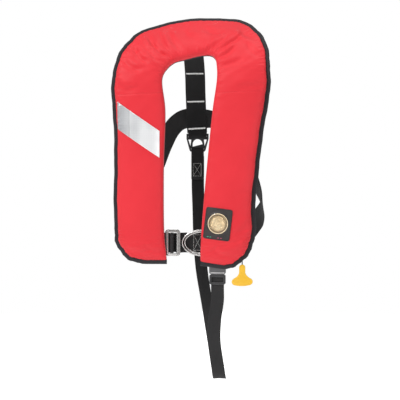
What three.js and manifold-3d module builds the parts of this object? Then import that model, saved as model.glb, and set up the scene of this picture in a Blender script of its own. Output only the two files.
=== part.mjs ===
// An inflatable life jacket: a horseshoe-shaped cover over a folded bladder, with its inflator, harness
// webbing, chest buckle, crotch strap and pull tab. Millimetres, +X to the viewer's right, -Y to the front,
// +Z up. The origin is the middle of the collar's neck edge.
import * as THREE from 'three';
import { mergeVertices } from 'three/addons/utils/BufferGeometryUtils.js';
import Module from 'manifold-3d';

const wasm = await Module();
wasm.setup();

// ---- driving dimensions -------------------------------------------------------------------------------
const gap = 0.3;                 // between two pieces that touch
const lobeFront = 24;            // how far the cover swells forward of its mid-plane
const lobeBack = 12;             // how far the lining swells behind it
const coverWall = 1.6;
const collarRadius = 150;        // the bend that leans the collar back
const collarBendStart = -70;
const collarBendAngle = 50 * Math.PI / 180;
const neckBack = 17.3;           // the collar's neck edge lies this far behind the lobes' mid-plane
const lobeScale = 1;             // length of the lobes below the collar
const bindingWidth = 7;
const bindingThickness = 5;
const closureWidth = 12;
const closureThickness = 0.8;
const tapeThickness = 0.5;
const webbing = 2;               // thickness of all harness webbing
const beltWidth = 50;
const yokeWidth = 44;
const crotchWidth = 30;
const beltY = -1;                // centre of the belt where it lies on the backs of the lobes
const harnessY = 133;            // how far back the harness hangs
const chestZ = -425;             // height of the chest buckle and the D rings
const frameHeight = beltWidth + 11;
const frameWidth = 35;
const frameThickness = 3;
const ringWire = 4;
const ringHeight = 63;
const ringReach = 52;            // from the straight bar to the far side of the bow
const lensDiameter = 46;
const patchWidth = 62;
const patchHeight = 72;
const patchThickness = 1.2;
const lensAt = new THREE.Vector2(69.8, -379);
const cylinderDiameter = 26;
const cylinderLength = 125;
const inflatorWidth = 40;
const inflatorHeight = 64;
const inflatorDepth = 21;
const leverReach = 26;
const leverLift = 30 * Math.PI / 180;
const leverThickness = 3.4;
const leverPinDiameter = 4;
const lanyardDiameter = 2.4;
const tabThickness = 4.2;
const tabHeight = 50;
const tabWidth = 48;
const buckleX = 64;
const buckleY = -1;
const buckleWidth = 38;
const buckleDepth = 9;
const maleHeight = 23;
const maleTop = -497.3;
const prongReach = 32;

// ---- materials ----------------------------------------------------------------------------------------
function surface(color, roughness, metalness) {
  return new THREE.MeshStandardMaterial({ color, roughness, metalness });
}
const red = surface(0xef3e48, 0.75, 0);
const lining = surface(0x2a2a2e, 0.85, 0);
const black = surface(0x2d2d30, 0.8, 0);
const webbed = surface(0x262628, 0.85, 0);
const silver = surface(0xe1e4e6, 0.4, 0.1);
const charcoal = surface(0x323032, 0.7, 0);
const clear = surface(0xf2ead8, 0.1, 0);
const gold = surface(0xe1be82, 0.45, 0.1);
const plastic = surface(0x3a3a3d, 0.45, 0);
const steel = surface(0xbeb4af, 0.25, 1);
const amber = surface(0xf4b83b, 0.5, 0);
const yellow = surface(0xf0d040, 0.6, 0);
const grey = surface(0x8f9498, 0.4, 0.6);

const jacket = new THREE.Group();

function piece(name, geometry, material) {
  const mesh = new THREE.Mesh(geometry, material);
  mesh.name = name;
  jacket.add(mesh);
  return mesh;
}

// ---- solids -------------------------------------------------------------------------------------------
function toSolid(geometry) {
  const bare = geometry.clone();
  for (const extra of ['normal', 'uv', 'uv1', 'uv2']) {
    bare.deleteAttribute(extra);
  }
  const merged = mergeVertices(bare, 1e-4);
  const vertProperties = new Float32Array(merged.attributes.position.array);
  const triVerts = new Uint32Array(merged.index.array);
  return new wasm.Manifold(new wasm.Mesh({ numProp: 3, vertProperties, triVerts }));
}

function fromSolid(solid) {
  const { numProp, vertProperties, triVerts } = solid.getMesh();
  const position = new Float32Array(triVerts.length * 3);
  for (let corner = 0; corner < triVerts.length; corner++) {
    for (let axis = 0; axis < 3; axis++) {
      position[3 * corner + axis] = vertProperties[numProp * triVerts[corner] + axis];
    }
  }
  const geometry = new THREE.BufferGeometry();
  geometry.setAttribute('position', new THREE.BufferAttribute(position, 3));
  return geometry;
}

function cut(body, ...tools) {
  let solid = toSolid(body);
  for (const tool of tools) {
    solid = solid.subtract(toSolid(tool));
  }
  return fromSolid(solid);
}

function join(body, ...others) {
  let solid = toSolid(body);
  for (const other of others) {
    solid = solid.add(toSolid(other));
  }
  return fromSolid(solid);
}

function signedVolume(points, faces) {
  let volume = 0;
  for (const [a, b, c] of faces) {
    volume += points[a].dot(new THREE.Vector3().crossVectors(points[b], points[c])) / 6;
  }
  return volume;
}

// A solid through a row of rings with the same number of corners each. Corner i of a ring faces corner
// n-1-i across it, so an end is closed by a strip of quads. A closed row joins its last ring to its first.
function loft(rings, closed = false) {
  const points = rings.flat();
  const size = rings[0].length;
  const faces = [];
  const rows = closed ? rings.length : rings.length - 1;
  for (let row = 0; row < rows; row++) {
    const here = row * size;
    const next = ((row + 1) % rings.length) * size;
    for (let corner = 0; corner < size; corner++) {
      const after = (corner + 1) % size;
      faces.push([here + corner, here + after, next + after]);
      faces.push([here + corner, next + after, next + corner]);
    }
  }
  if (!closed) {
    const last = (rings.length - 1) * size;
    for (let corner = 0; corner < size / 2 - 1; corner++) {
      const far = size - 1 - corner;
      faces.push([corner, far, far - 1], [corner, far - 1, corner + 1]);
      faces.push([last + corner, last + far - 1, last + far], [last + corner, last + corner + 1, last + far - 1]);
    }
  }
  const outward = signedVolume(points, faces) > 0;
  const position = [];
  for (const [a, b, c] of faces) {
    for (const corner of outward ? [a, b, c] : [a, c, b]) {
      position.push(...points[corner].toArray());
    }
  }
  const geometry = new THREE.BufferGeometry();
  geometry.setAttribute('position', new THREE.Float32BufferAttribute(position, 3));
  return geometry;
}

function box(x0, x1, y0, y1, z0, z1) {
  return new THREE.BoxGeometry(x1 - x0, y1 - y0, z1 - z0).translate((x0 + x1) / 2, (y0 + y1) / 2, (z0 + z1) / 2);
}

// A round bar between two points.
function bar(from, to, radius, sides = 16) {
  const along = new THREE.Vector3().subVectors(to, from);
  const turn = new THREE.Quaternion().setFromUnitVectors(new THREE.Vector3(0, 1, 0), along.clone().normalize());
  return new THREE.CylinderGeometry(radius, radius, along.length(), sides)
    .applyQuaternion(turn).translate(...from.clone().add(to).multiplyScalar(0.5).toArray());
}

function barAlongY(x, z, y0, y1, radius, sides = 24) {
  return bar(new THREE.Vector3(x, y0, z), new THREE.Vector3(x, y1, z), radius, sides);
}

function barAlongZ(x, y, z0, z1, radius, sides = 24) {
  return bar(new THREE.Vector3(x, y, z0), new THREE.Vector3(x, y, z1), radius, sides);
}

function roundedBox(width, height, radius, x = 0, y = 0) {
  const shape = new THREE.Shape();
  const w = width / 2 - radius;
  const h = height / 2 - radius;
  shape.absarc(x + w, y + h, radius, 0, Math.PI / 2);
  shape.absarc(x - w, y + h, radius, Math.PI / 2, Math.PI);
  shape.absarc(x - w, y - h, radius, Math.PI, 1.5 * Math.PI);
  shape.absarc(x + w, y - h, radius, 1.5 * Math.PI, 2 * Math.PI);
  return shape;
}

// A flat plate: the shape's x and y become X and Z, and its thickness runs from y0 back to y1.
function plate(shape, y0, y1, curveSegments = 4) {
  const geometry = new THREE.ExtrudeGeometry(shape, { depth: y1 - y0, bevelEnabled: false, curveSegments });
  return geometry.rotateX(Math.PI / 2).translate(0, y1, 0);
}

// Webbing: a flat strip along a curve through points [x, y, z, facing x, facing y, facing z].
function ribbon(stops, width, steps, thickness = webbing) {
  const path = new THREE.CatmullRomCurve3(stops.map(s => new THREE.Vector3(s[0], s[1], s[2])), false, 'centripetal');
  const faces = stops.map(s => new THREE.Vector3(s[3], s[4], s[5]).normalize());
  const rings = [];
  for (let step = 0; step <= steps; step++) {
    const t = step / steps;
    const place = t * (stops.length - 1);
    const before = Math.min(Math.floor(place), stops.length - 2);
    const along = path.getTangent(t);
    const facing = faces[before].clone().lerp(faces[before + 1], place - before);
    const across = new THREE.Vector3().crossVectors(along, facing).normalize().multiplyScalar(width / 2);
    const up = new THREE.Vector3().crossVectors(across, along).normalize().multiplyScalar(thickness / 2);
    const at = path.getPoint(t);
    rings.push([
      at.clone().add(across).add(up),
      at.clone().add(across).sub(up),
      at.clone().sub(across).sub(up),
      at.clone().sub(across).add(up),
    ]);
  }
  return loft(rings);
}

// Webbing whose width stands upright, along points [x, y] of a level path at height z.
function levelRibbon(points, z, width, steps, thickness = webbing) {
  const path = new THREE.SplineCurve(points.map(p => new THREE.Vector2(p[0], p[1])));
  const rings = [];
  for (let step = 0; step <= steps; step++) {
    const at = path.getPoint(step / steps);
    const along = path.getTangent(step / steps);
    const side = new THREE.Vector2(-along.y, along.x).multiplyScalar(thickness / 2);
    rings.push([
      new THREE.Vector3(at.x + side.x, at.y + side.y, z + width / 2),
      new THREE.Vector3(at.x - side.x, at.y - side.y, z + width / 2),
      new THREE.Vector3(at.x - side.x, at.y - side.y, z - width / 2),
      new THREE.Vector3(at.x + side.x, at.y + side.y, z - width / 2),
    ]);
  }
  return loft(rings);
}

// ---- the cover's sheet --------------------------------------------------------------------------------
// The horseshoe is drawn on a flat sheet (u across, v up) that bends back above collarBendStart, and n is
// the height above the sheet, towards the front.
function onSheet(u, v, n) {
  const bent = THREE.MathUtils.clamp((v - collarBendStart) / collarRadius, 0, collarBendAngle);
  const beyond = Math.max(0, v - collarBendStart - collarRadius * collarBendAngle);
  const below = Math.min(v, collarBendStart);
  const y = collarRadius * (1 - Math.cos(bent)) + beyond * Math.sin(bent) - n * Math.cos(bent) - neckBack;
  const z = below + collarRadius * Math.sin(bent) + beyond * Math.cos(bent) + n * Math.sin(bent);
  return new THREE.Vector3(u, y, z);
}

function lowered(v) {
  return v > -120 ? v : -120 + (v + 120) * lobeScale;
}

// Stops round the horseshoe from the left lobe's foot to the right lobe's: neck side, outer side, and how
// full the cover is there.
const stops = [
  { neck: [-51.5, -464], outer: [-108, -472], full: 0.16 },
  { neck: [-52, -456], outer: [-136, -464], full: 0.42 },
  { neck: [-53, -444], outer: [-156, -447], full: 0.66 },
  { neck: [-55.5, -425], outer: [-168.5, -424], full: 0.86 },
  { neck: [-57.5, -395], outer: [-172, -390], full: 0.97 },
  { neck: [-58, -250], outer: [-171.5, -250], full: 1 },
  { neck: [-54.5, -120], outer: [-174.5, -125], full: 1 },
  { neck: [-61, -45], outer: [-177.5, -45], full: 1 },
  { neck: [-47, -20.5], outer: [-166, 10], full: 1 },
  { neck: [-38, -12.5], outer: [-148, 45], full: 1 },
  { neck: [-30, -8], outer: [-120, 80], full: 1 },
  { neck: [-13, -3.5], outer: [-42, 119], full: 1 },
  { neck: [28, 7.5], outer: [50, 127], full: 1 },
  { neck: [48, 7], outer: [114, 115.5], full: 1 },
  { neck: [59, -3], outer: [160, 70], full: 1 },
  { neck: [64, -25], outer: [185.5, 5], full: 1 },
  { neck: [65, -50], outer: [188, -40], full: 1 },
  { neck: [56, -115], outer: [178, -118], full: 1 },
  { neck: [43.5, -235], outer: [160.5, -235], full: 1 },
  { neck: [34, -340], outer: [151.8, -325], full: 1 },
  { neck: [28.5, -415], outer: [150.5, -402], full: 0.97 },
  { neck: [27.5, -438], outer: [144, -432], full: 0.86 },
  { neck: [27, -452], outer: [128, -458], full: 0.66 },
  { neck: [27, -461], outer: [108, -474], full: 0.42 },
  { neck: [27.5, -467], outer: [84, -482], full: 0.16 },
];
const neckCurve = new THREE.CatmullRomCurve3(
  stops.map(s => new THREE.Vector3(s.neck[0], lowered(s.neck[1]), s.full)), false, 'centripetal');
const outerCurve = new THREE.CatmullRomCurve3(
  stops.map(s => new THREE.Vector3(s.outer[0], lowered(s.outer[1]), 0)), false, 'centripetal');
const lastStop = stops.length - 1;
const leftSeam = 6.45;           // stops where the front panels and the lining panels are sewn together
const rightSeam = 16.55;
const seamHalf = 0.008;

// The unit vector from the outer edge towards the inside of the cover.
function inwardAt(stop) {
  const along = outerCurve.getTangent(stop / lastStop);
  return new THREE.Vector2(along.y, -along.x).normalize();
}

function outerAt(stop, inset) {
  const at = outerCurve.getPoint(stop / lastStop);
  const inward = inwardAt(stop);
  return new THREE.Vector2(at.x + inward.x * inset, at.y + inward.y * inset);
}

// The cover's own two edges at a stop, inside the binding.
function edgesAt(stop) {
  const neck = neckCurve.getPoint(stop / lastStop);
  const outer = outerAt(stop, bindingWidth + gap);
  return { neck: new THREE.Vector2(neck.x, neck.y), outer, full: Math.min(neck.z, 1) };
}

// How high the swell stands at a share of the way across, for a swell of height 1.
function swell(angle) {
  return Math.sqrt(Math.max(Math.sin(angle), 0));
}

const acrossSteps = 10;

// One half of the cover's section, from its neck edge to its outer edge: sign +1 is the front.
function shellRing(stop, height, sign) {
  const { neck, outer, full } = edgesAt(stop);
  const width = neck.distanceTo(outer);
  const ring = [];
  for (let step = 0; step <= acrossSteps; step++) {
    const angle = Math.PI * step / acrossSteps;
    const share = (1 - Math.cos(angle)) / 2;
    const at = neck.clone().lerp(outer, share);
    ring.push(onSheet(at.x, at.y, sign * (gap / 2 + height * full * swell(angle))));
  }
  for (let step = acrossSteps; step >= 0; step--) {
    const angle = Math.PI * step / acrossSteps;
    const across = coverWall + (width / 2 - coverWall) * (1 - Math.cos(angle));
    const at = neck.clone().lerp(outer, across / width);
    const inner = Math.max(height * full - coverWall, 0.3) * swell(angle);
    ring.push(onSheet(at.x, at.y, sign * (gap / 2 + inner)));
  }
  return ring;
}

function stopsBetween(from, to, perStop) {
  const count = Math.max(2, Math.round((to - from) * perStop));
  return Array.from({ length: count + 1 }, (_, i) => from + (to - from) * i / count);
}

function shellPanel(from, to, height, sign) {
  return loft(stopsBetween(from, to, 2).map(stop => shellRing(stop, height, sign)));
}

// How far the cover stands off the sheet at a point of the left or right lobe, for a swell of that height.
function heightAt(u, v, height) {
  let low = u < 0 ? 0 : 17;
  let high = u < 0 ? 7 : lastStop;
  const side = stop => {
    const { neck, outer } = edgesAt(stop);
    return (outer.x - neck.x) * (v - neck.y) - (outer.y - neck.y) * (u - neck.x);
  };
  const rising = side(low) < side(high);
  for (let pass = 0; pass < 30; pass++) {
    const middle = (low + high) / 2;
    if ((side(middle) < 0) === rising) {
      low = middle;
    } else {
      high = middle;
    }
  }
  const { neck, outer, full } = edgesAt(low);
  const share = THREE.MathUtils.clamp((u - neck.x) / (outer.x - neck.x), 0.001, 0.999);
  return gap / 2 + height * full * swell(Math.acos(1 - 2 * share));
}

// A thin patch over the front: four corners [u, v] in order round it.
function drape(corners, lift, thickness, columns, rows) {
  const rings = [];
  const at = (i, j, height) => {
    const bottom = new THREE.Vector2(...corners[0]).lerp(new THREE.Vector2(...corners[1]), i / columns);
    const top = new THREE.Vector2(...corners[3]).lerp(new THREE.Vector2(...corners[2]), i / columns);
    const p = bottom.lerp(top, j / rows);
    return onSheet(p.x, p.y, heightAt(p.x, p.y, lobeFront) + height);
  };
  for (let i = 0; i <= columns; i++) {
    const ring = [];
    for (let j = 0; j <= rows; j++) {
      ring.push(at(i, j, lift + thickness));
    }
    for (let j = rows; j >= 0; j--) {
      ring.push(at(i, j, lift));
    }
    rings.push(ring);
  }
  return loft(rings);
}

// ---- cover, binding and closure -----------------------------------------------------------------------
const windowBore = barAlongY(lensAt.x, lensAt.y, -60, -neckBack - 5, lensDiameter / 2 - 3, 32);
const lanyardX = lensAt.x + inflatorWidth / 2 + 10 + leverReach * Math.cos(leverLift);
const lanyardN = -bindingThickness / 2 - gap - lanyardDiameter / 2 - 0.1;
const lanyardY = -neckBack - lanyardN;
const lanyardBore = barAlongZ(lanyardX, lanyardY, -520, -372, lanyardDiameter / 2 + 1.2, 12);

function coverPanels() {
  const parts = [
    ['left', 0, leftSeam - seamHalf],
    ['collar', leftSeam + seamHalf, rightSeam - seamHalf],
    ['right', rightSeam + seamHalf, lastStop],
  ];
  for (const [side, from, to] of parts) {
    const front = shellPanel(from, to, lobeFront, 1);
    piece(`cover_front_${side}`, side === 'right' ? cut(front, windowBore, lanyardBore) : front, red);
    const back = shellPanel(from, to, lobeBack, -1);
    piece(`cover_back_${side}`, side === 'right' ? cut(back, lanyardBore) : back, lining);
  }
}

// A bead with chamfered corners, centred on an edge point with its inward direction in the sheet.
function bindingRing(at, inward) {
  const w = bindingWidth / 2;
  const t = bindingThickness / 2;
  const chamfer = 1.4;
  const corners = [
    [w, t - chamfer], [w - chamfer, t], [-w + chamfer, t], [-w, t - chamfer],
    [-w, -t + chamfer], [-w + chamfer, -t], [w - chamfer, -t], [w, -t + chamfer],
  ];
  return corners.map(([a, n]) => onSheet(at.x + inward.x * a, at.y + inward.y * a, n));
}

function edgeBinding() {
  const rings = [];
  const half = bindingWidth / 2;
  // Along the foot of a lobe the bead runs straight to the neck corner, square to the cover's end.
  const foot = (stop, share) => {
    const { neck, outer } = edgesAt(stop);
    const along = neck.clone().sub(outer);
    const inward = new THREE.Vector2(along.y, -along.x).normalize();
    if (inward.y < 0) {
      inward.negate();
    }
    const at = outer.clone().addScaledVector(along, share).addScaledVector(inward, -half - gap);
    return bindingRing(at, inward);
  };
  rings.push(foot(0, 1), foot(0, 0.55), foot(0, 0.12));
  for (const stop of stopsBetween(0, lastStop, 2)) {
    rings.push(bindingRing(outerAt(stop, half), inwardAt(stop)));
  }
  rings.push(foot(lastStop, 0.12), foot(lastStop, 0.55), foot(lastStop, 1));
  piece('edge_binding', loft(rings), black);
}

// The two closure tapes face each other just inside the outer edge.
const closureInset = bindingWidth + coverWall + 4 * gap;
function closureTapes() {
  for (const [name, sign] of [['closure_hook_tape', 1], ['closure_loop_tape', -1]]) {
    const rings = stopsBetween(4, 20, 2).map(stop => {
      const near = outerAt(stop, closureInset);
      const far = outerAt(stop, closureInset + closureWidth);
      const low = sign * gap / 2;
      const high = sign * (gap / 2 + closureThickness);
      return [
        onSheet(near.x, near.y, low), onSheet(near.x, near.y, high),
        onSheet(far.x, far.y, high), onSheet(far.x, far.y, low),
      ];
    });
    piece(name, loft(rings), charcoal);
  }
}

// ---- bladder ------------------------------------------------------------------------------------------
const cylinderY = -neckBack - 5.5;
const inflatorTop = -347;
const tubeX = -95;
const tubeY = -neckBack - 5;

function bladder() {
  const ringAt = stop => {
    const { neck, outer, full } = edgesAt(stop);
    const width = neck.distanceTo(outer);
    const near = (coverWall + 2) / width;
    const far = 1 - (coverWall + closureWidth + 3) / width;
    const ring = [];
    const steps = 5;
    for (const [sign, height] of [[1, lobeFront], [-1, lobeBack]]) {
      for (let step = 0; step <= steps; step++) {
        const angle = Math.PI * (sign > 0 ? step : steps - step) / steps;
        const share = near + (far - near) * (1 - Math.cos(angle)) / 2;
        const at = neck.clone().lerp(outer, share);
        const n = sign * (1 + Math.max(height * full - coverWall - 3.5, 0.5) * swell(angle));
        ring.push(onSheet(at.x, at.y, n));
      }
    }
    return ring;
  };
  const whole = loft(stopsBetween(1.5, 20, 2).map(ringAt));
  const clearance = 0.4;
  const inflatorRoom = box(0, 200, -60, 20, -520, inflatorTop + gap);
  const cylinderRoom = barAlongZ(lensAt.x, cylinderY, -400, inflatorTop + cylinderLength + 8,
    cylinderDiameter / 2 + clearance, 24);
  const tubeRoom = box(tubeX - 9.6, tubeX + 19, tubeY - 9.6, tubeY + 9.6, -520, -176);
  piece('bladder', cut(whole, inflatorRoom, cylinderRoom, tubeRoom), yellow);
}

// ---- tape, window patch and lens ----------------------------------------------------------------------
function reflectiveTape() {
  const corners = [[-167.5, -163.5], [-65, -229.5], [-65, -168.5], [-167.5, -101.5]];
  const inset = bindingWidth + 1.5;
  corners[0][0] += inset - 4;
  corners[3][0] += inset - 4;
  piece('reflective_tape', drape(corners, 0.45, tapeThickness, 18, 3), silver);
}

const patchLift = 0.55;
function patchCorners(width, height) {
  const turn = -7 * Math.PI / 180;
  const middle = new THREE.Vector2(lensAt.x - 0.6, lensAt.y - 1);
  return [[-1, -1], [1, -1], [1, 1], [-1, 1]].map(([a, b]) => {
    const corner = new THREE.Vector2(a * width / 2, b * height / 2).rotateAround(new THREE.Vector2(), turn);
    return [middle.x + corner.x, middle.y + corner.y];
  });
}

function windowPatch() {
  const sheet = drape(patchCorners(patchWidth, patchHeight), patchLift, patchThickness, 12, 5);
  const bore = barAlongY(lensAt.x, lensAt.y, -60, 0, lensDiameter / 2 + gap, 40);
  piece('window_patch', cut(sheet, bore), charcoal);
}

function windowLens() {
  const reach = lensDiameter + 6;
  const corners = [[-1, -1], [1, -1], [1, 1], [-1, 1]]
    .map(([a, b]) => [lensAt.x + a * reach / 2, lensAt.y + b * reach / 2]);
  const sheet = drape(corners, patchLift, patchThickness + 0.6, 10, 3);
  const outside = cut(
    box(lensAt.x - reach, lensAt.x + reach, -80, 20, lensAt.y - reach, lensAt.y + reach),
    barAlongY(lensAt.x, lensAt.y, -90, 30, lensDiameter / 2, 40));
  piece('window_lens', cut(sheet, outside), clear);
}

// ---- inflator -----------------------------------------------------------------------------------------
const inflatorBackY = -neckBack + 7.6;
const inflatorFrontY = inflatorBackY - inflatorDepth;
const inflatorBottom = inflatorTop - inflatorHeight;
const leverPivot = new THREE.Vector2(lensAt.x + inflatorWidth / 2 + 10, -392);
const neckDiameter = 12;
const neckDepth = 12;
const pinDiameter = 4;

function lug(y0, y1) {
  const shape = roundedBox(22, 16, 5, leverPivot.x - 4.5, leverPivot.y);
  return plate(shape, y0, y1);
}

function inflator() {
  const right = lensAt.x + inflatorWidth / 2;
  const block = plate(roundedBox(inflatorWidth, inflatorHeight, 5, lensAt.x, inflatorTop - inflatorHeight / 2),
    inflatorFrontY, inflatorBackY);
  const lugHalf = leverThickness / 2 + gap;
  const lugWall = 2.3;
  const joined = join(block, lug(lanyardY - lugHalf - lugWall, lanyardY - lugHalf),
    lug(lanyardY + lugHalf, lanyardY + lugHalf + lugWall));
  const body = cut(joined,
    barAlongZ(lensAt.x, cylinderY, inflatorTop - neckDepth, inflatorTop + 5, neckDiameter / 2 + gap),
    barAlongZ(lensAt.x, cylinderY, inflatorTop - 34, inflatorTop, pinDiameter / 2 + gap, 16),
    barAlongY(leverPivot.x, leverPivot.y, -60, 20, leverPinDiameter / 2 + gap, 16),
    box(right - 3, right + 0.1, lanyardY - lugHalf, lanyardY + lugHalf, leverPivot.y - 9, leverPivot.y + 9));
  piece('inflator_body', body, plastic);
  const profile = [[0, 0], [17, 0], [17, 2.2], [15.5, 3.2], [14, 2.6], [12, 4], [10, 3.2], [8, 4.6], [0, 5]];
  const cap = new THREE.LatheGeometry(profile.map(p => new THREE.Vector2(p[0], p[1])), 28)
    .rotateX(Math.PI);
  piece('inflator_cap', cap, gold).position.set(lensAt.x, inflatorFrontY - gap, lensAt.y);
  piece('piercing_pin', barAlongZ(lensAt.x, cylinderY, inflatorTop - 33, inflatorTop - neckDepth - 6,
    pinDiameter / 2, 12), steel);
  piece('lever_pin', barAlongY(leverPivot.x, leverPivot.y, lanyardY - lugHalf - lugWall, lanyardY + lugHalf + lugWall,
    leverPinDiameter / 2, 12), steel);
}

function firingLever() {
  const arm = roundedBox(leverReach + 6, 6, 2.9, leverReach / 2, 0);
  const lever = plate(arm, -leverThickness / 2, leverThickness / 2, 4);
  const hub = barAlongY(0, 0, -leverThickness / 2, leverThickness / 2, 5, 20);
  const solid = cut(join(lever, hub), barAlongY(0, 0, -9, 9, leverPinDiameter / 2 + gap, 16));
  const mesh = piece('firing_lever', solid, amber);
  mesh.position.set(leverPivot.x, lanyardY, leverPivot.y);
  mesh.rotation.y = -leverLift;
}

function gasCylinder() {
  const r = cylinderDiameter / 2;
  const shoulder = 10;
  const profile = new THREE.Path();
  profile.moveTo(0, 0);
  profile.lineTo(neckDiameter / 2, 0);
  profile.lineTo(neckDiameter / 2, neckDepth + 2);
  profile.quadraticCurveTo(r, neckDepth + 3, r, neckDepth + shoulder);
  profile.lineTo(r, neckDepth + cylinderLength - shoulder);
  profile.quadraticCurveTo(r, neckDepth + cylinderLength, 0, neckDepth + cylinderLength);
  const points = profile.getPoints(3);
  piece('gas_cylinder', new THREE.LatheGeometry(points, 20).rotateX(Math.PI / 2), grey)
    .position.set(lensAt.x, cylinderY, inflatorTop - neckDepth + gap);
}

// ---- lanyard and pull tab -----------------------------------------------------------------------------
const leverTip = leverPivot.y + leverReach * Math.sin(leverLift);
const tabTop = lowered(-473);

function lanyardAndTab() {
  const top = leverTip - 3 - gap - 1.2;
  piece('lanyard', barAlongZ(lanyardX, lanyardY, tabTop - 4.5, top, lanyardDiameter / 2, 8), black);
  const half = tabWidth / 2;
  const shape = new THREE.Shape();
  shape.absarc(0, -7, 7, 0, Math.PI);
  shape.lineTo(-7, -18);
  shape.quadraticCurveTo(-8, -26, -17, -31);
  shape.absarc(-half + 8, -tabHeight + 10, 8, 2.2, 4.5);
  shape.quadraticCurveTo(0, -tabHeight - 1, half - 9, -tabHeight + 2.5);
  shape.absarc(half - 8, -tabHeight + 11, 8, -1.35, 0.95);
  shape.quadraticCurveTo(8, -26, 7, -18);
  shape.closePath();
  const body = plate(shape, -tabThickness / 2, tabThickness / 2, 6);
  const socket = barAlongZ(0, 0, -5.2, 5, lanyardDiameter / 2 + gap, 8);
  piece('pull_tab', cut(body, socket), amber).position.set(lanyardX, lanyardY, tabTop);
}

// ---- oral inflation tube ------------------------------------------------------------------------------
function oralTube() {
  const tube = cut(barAlongZ(0, 0, -330, -180, 5, 20), barAlongZ(0, 0, -340, -170, 3.4, 16));
  piece('oral_tube', tube, black).position.set(tubeX, tubeY, 0);
  const mouth = cut(barAlongZ(0, 0, -356, -330 - gap, 7, 20), barAlongZ(0, 0, -360, -334, 5, 16),
    barAlongZ(0, 0, -336, -320, 3.4, 16));
  piece('oral_mouthpiece', mouth, red).position.set(tubeX, tubeY, 0);
  piece('oral_valve', barAlongZ(0, 0, -351, -339, 4.6, 16), black).position.set(tubeX, tubeY, 0);
  const cap = cut(barAlongZ(0, 0, -362, -346, 9, 20), barAlongZ(0, 0, -359, -340, 7 + gap, 20));
  piece('oral_cap', cap, black).position.set(tubeX, tubeY, 0);
  const whistle = roundedBox(12, 42, 4, tubeX + 5 + gap + 6, -240);
  piece('whistle', plate(whistle, tubeY - 4, tubeY + 4), amber);
}

// ---- harness webbing ----------------------------------------------------------------------------------
const yokeY = harnessY - 4;      // the yoke hangs just in front of the connector
const ply = webbing + gap;       // from the middle of one ply of webbing to the next
const beltTop = -162 + (beltWidth - 4) / 2; // middle of the belts where they are sewn on

function backBelts() {
  const left = [
    [2, yokeY + 2 * ply, beltTop, 0, 1, 0], [-24, yokeY + 2 * ply, beltTop - 2, 0, 1, 0],
    [-46, harnessY, beltTop - 15, -0.3, 1, 0], [-66, harnessY - 7, beltTop - 43, -0.5, 1, 0],
    [-92, harnessY - 23, -228, -0.8, 1, 0], [-122, harnessY - 49, -292, -1, 0.5, 0],
    [-148, 50, -362, -1, 0, 0], [-146, 20, -405, -1, -0.8, 0], [-124, 4, -422, -0.4, -1, 0],
    [-100, beltY, chestZ, 0, -1, 0], [-80, beltY, chestZ, 0, -1, 0],
  ];
  piece('back_belt_left', ribbon(left, beltWidth - 4, 44), webbed);
  const right = [
    [5, yokeY + ply, beltTop + 5, 0, 1, 0], [30, yokeY + ply, beltTop + 7, 0, 1, 0],
    [54, harnessY - 1, beltTop - 1, 0.3, 1, 0], [82, harnessY - 8, beltTop - 33, 0.5, 1, 0],
    [112, harnessY - 25, -224, 0.8, 1, 0], [142, harnessY - 51, -292, 1, 0.5, 0],
    [166, 46, -364, 1, 0, 0], [160, 18, -402, 1, -0.8, 0], [138, 3, -420, 0.4, -1, 0],
    [118, beltY, chestZ, 0, -1, 0], [100, beltY, chestZ, 0, -1, 0],
  ];
  piece('back_belt_right', ribbon(right, beltWidth - 4, 44), webbed);
}

function yoke() {
  const onLining = v => onSheet(-9, v, -(lobeBack + gap + webbing / 2 + 0.6)).toArray();
  const down = [
    [...onLining(104), 0, 0.64, -0.77], [...onLining(84), 0, 0.64, -0.77], [-9, harnessY - 61, 30, 0, 0.8, 0.5],
    [-9, harnessY - 41, 0, 0, 0.9, 0.5], [-8, harnessY - 23, -35, 0, 1, 0.3], [-6, harnessY - 12, -75, 0, 1, 0.2],
    [-3, yokeY - 1, -112, 0, 1, 0], [connectorX, yokeY, -140, 0, 1, 0], [connectorX, yokeY, -163, 0, 1, 0],
  ];
  piece('yoke_strap', ribbon(down, yokeWidth, 26), webbed);
}

const connectorX = -1.3;
function connector() {
  const outline = new THREE.Shape();
  outline.moveTo(-26.5, 0);
  outline.lineTo(26.5, 0);
  outline.lineTo(26.5, -12);
  outline.lineTo(19, -40);
  outline.lineTo(16, -43);
  outline.lineTo(-16, -43);
  outline.lineTo(-19, -40);
  outline.lineTo(-26.5, -12);
  outline.closePath();
  const arch = new THREE.Shape();
  arch.moveTo(12, -31);
  arch.absarc(0, -25, 12, 0, Math.PI);
  arch.lineTo(-12, -31);
  const holes = [roundedBox(46, 3.6, 1.5, 0, -7), arch, roundedBox(31.5, 3.6, 1.5, 0, -36.5)];
  for (const side of [-1, 1]) {
    const window = new THREE.Shape();
    window.moveTo(side * 22.5, -14);
    window.lineTo(side * 15, -14);
    window.lineTo(side * 17, -30);
    holes.push(window);
  }
  const body = cut(plate(outline, -2.2, 2.2, 8), ...holes.map(shape => plate(shape, -9, 9, 8)));
  piece('webbing_connector', body, plastic).position.set(connectorX, harnessY, -171.5);
}

// A doubled end of webbing through a slot at height z, both plies hanging down (end -1) or up (end 1).
function slotLoop(z, end, frontReach, backReach) {
  const front = harnessY - 4;
  const back = harnessY + 4;
  return [
    [connectorX, front, z + end * frontReach, 0, -1, 0], [connectorX, front, z + end * 7, 0, -1, 0],
    [connectorX, front + 0.6, z + end * 1.6, 0, -1, -end], [connectorX, harnessY, z, 0, 0, -end],
    [connectorX, back - 0.6, z + end * 1.6, 0, 1, -end], [connectorX, back, z + end * 7, 0, 1, 0],
    [connectorX, back, z + end * backReach, 0, 1, 0],
  ];
}

function yokeLoop() {
  piece('yoke_loop', ribbon(slotLoop(-178.5, 1, 14.5, 14.5), yokeWidth, 20, 1.4), webbed);
}

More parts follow.
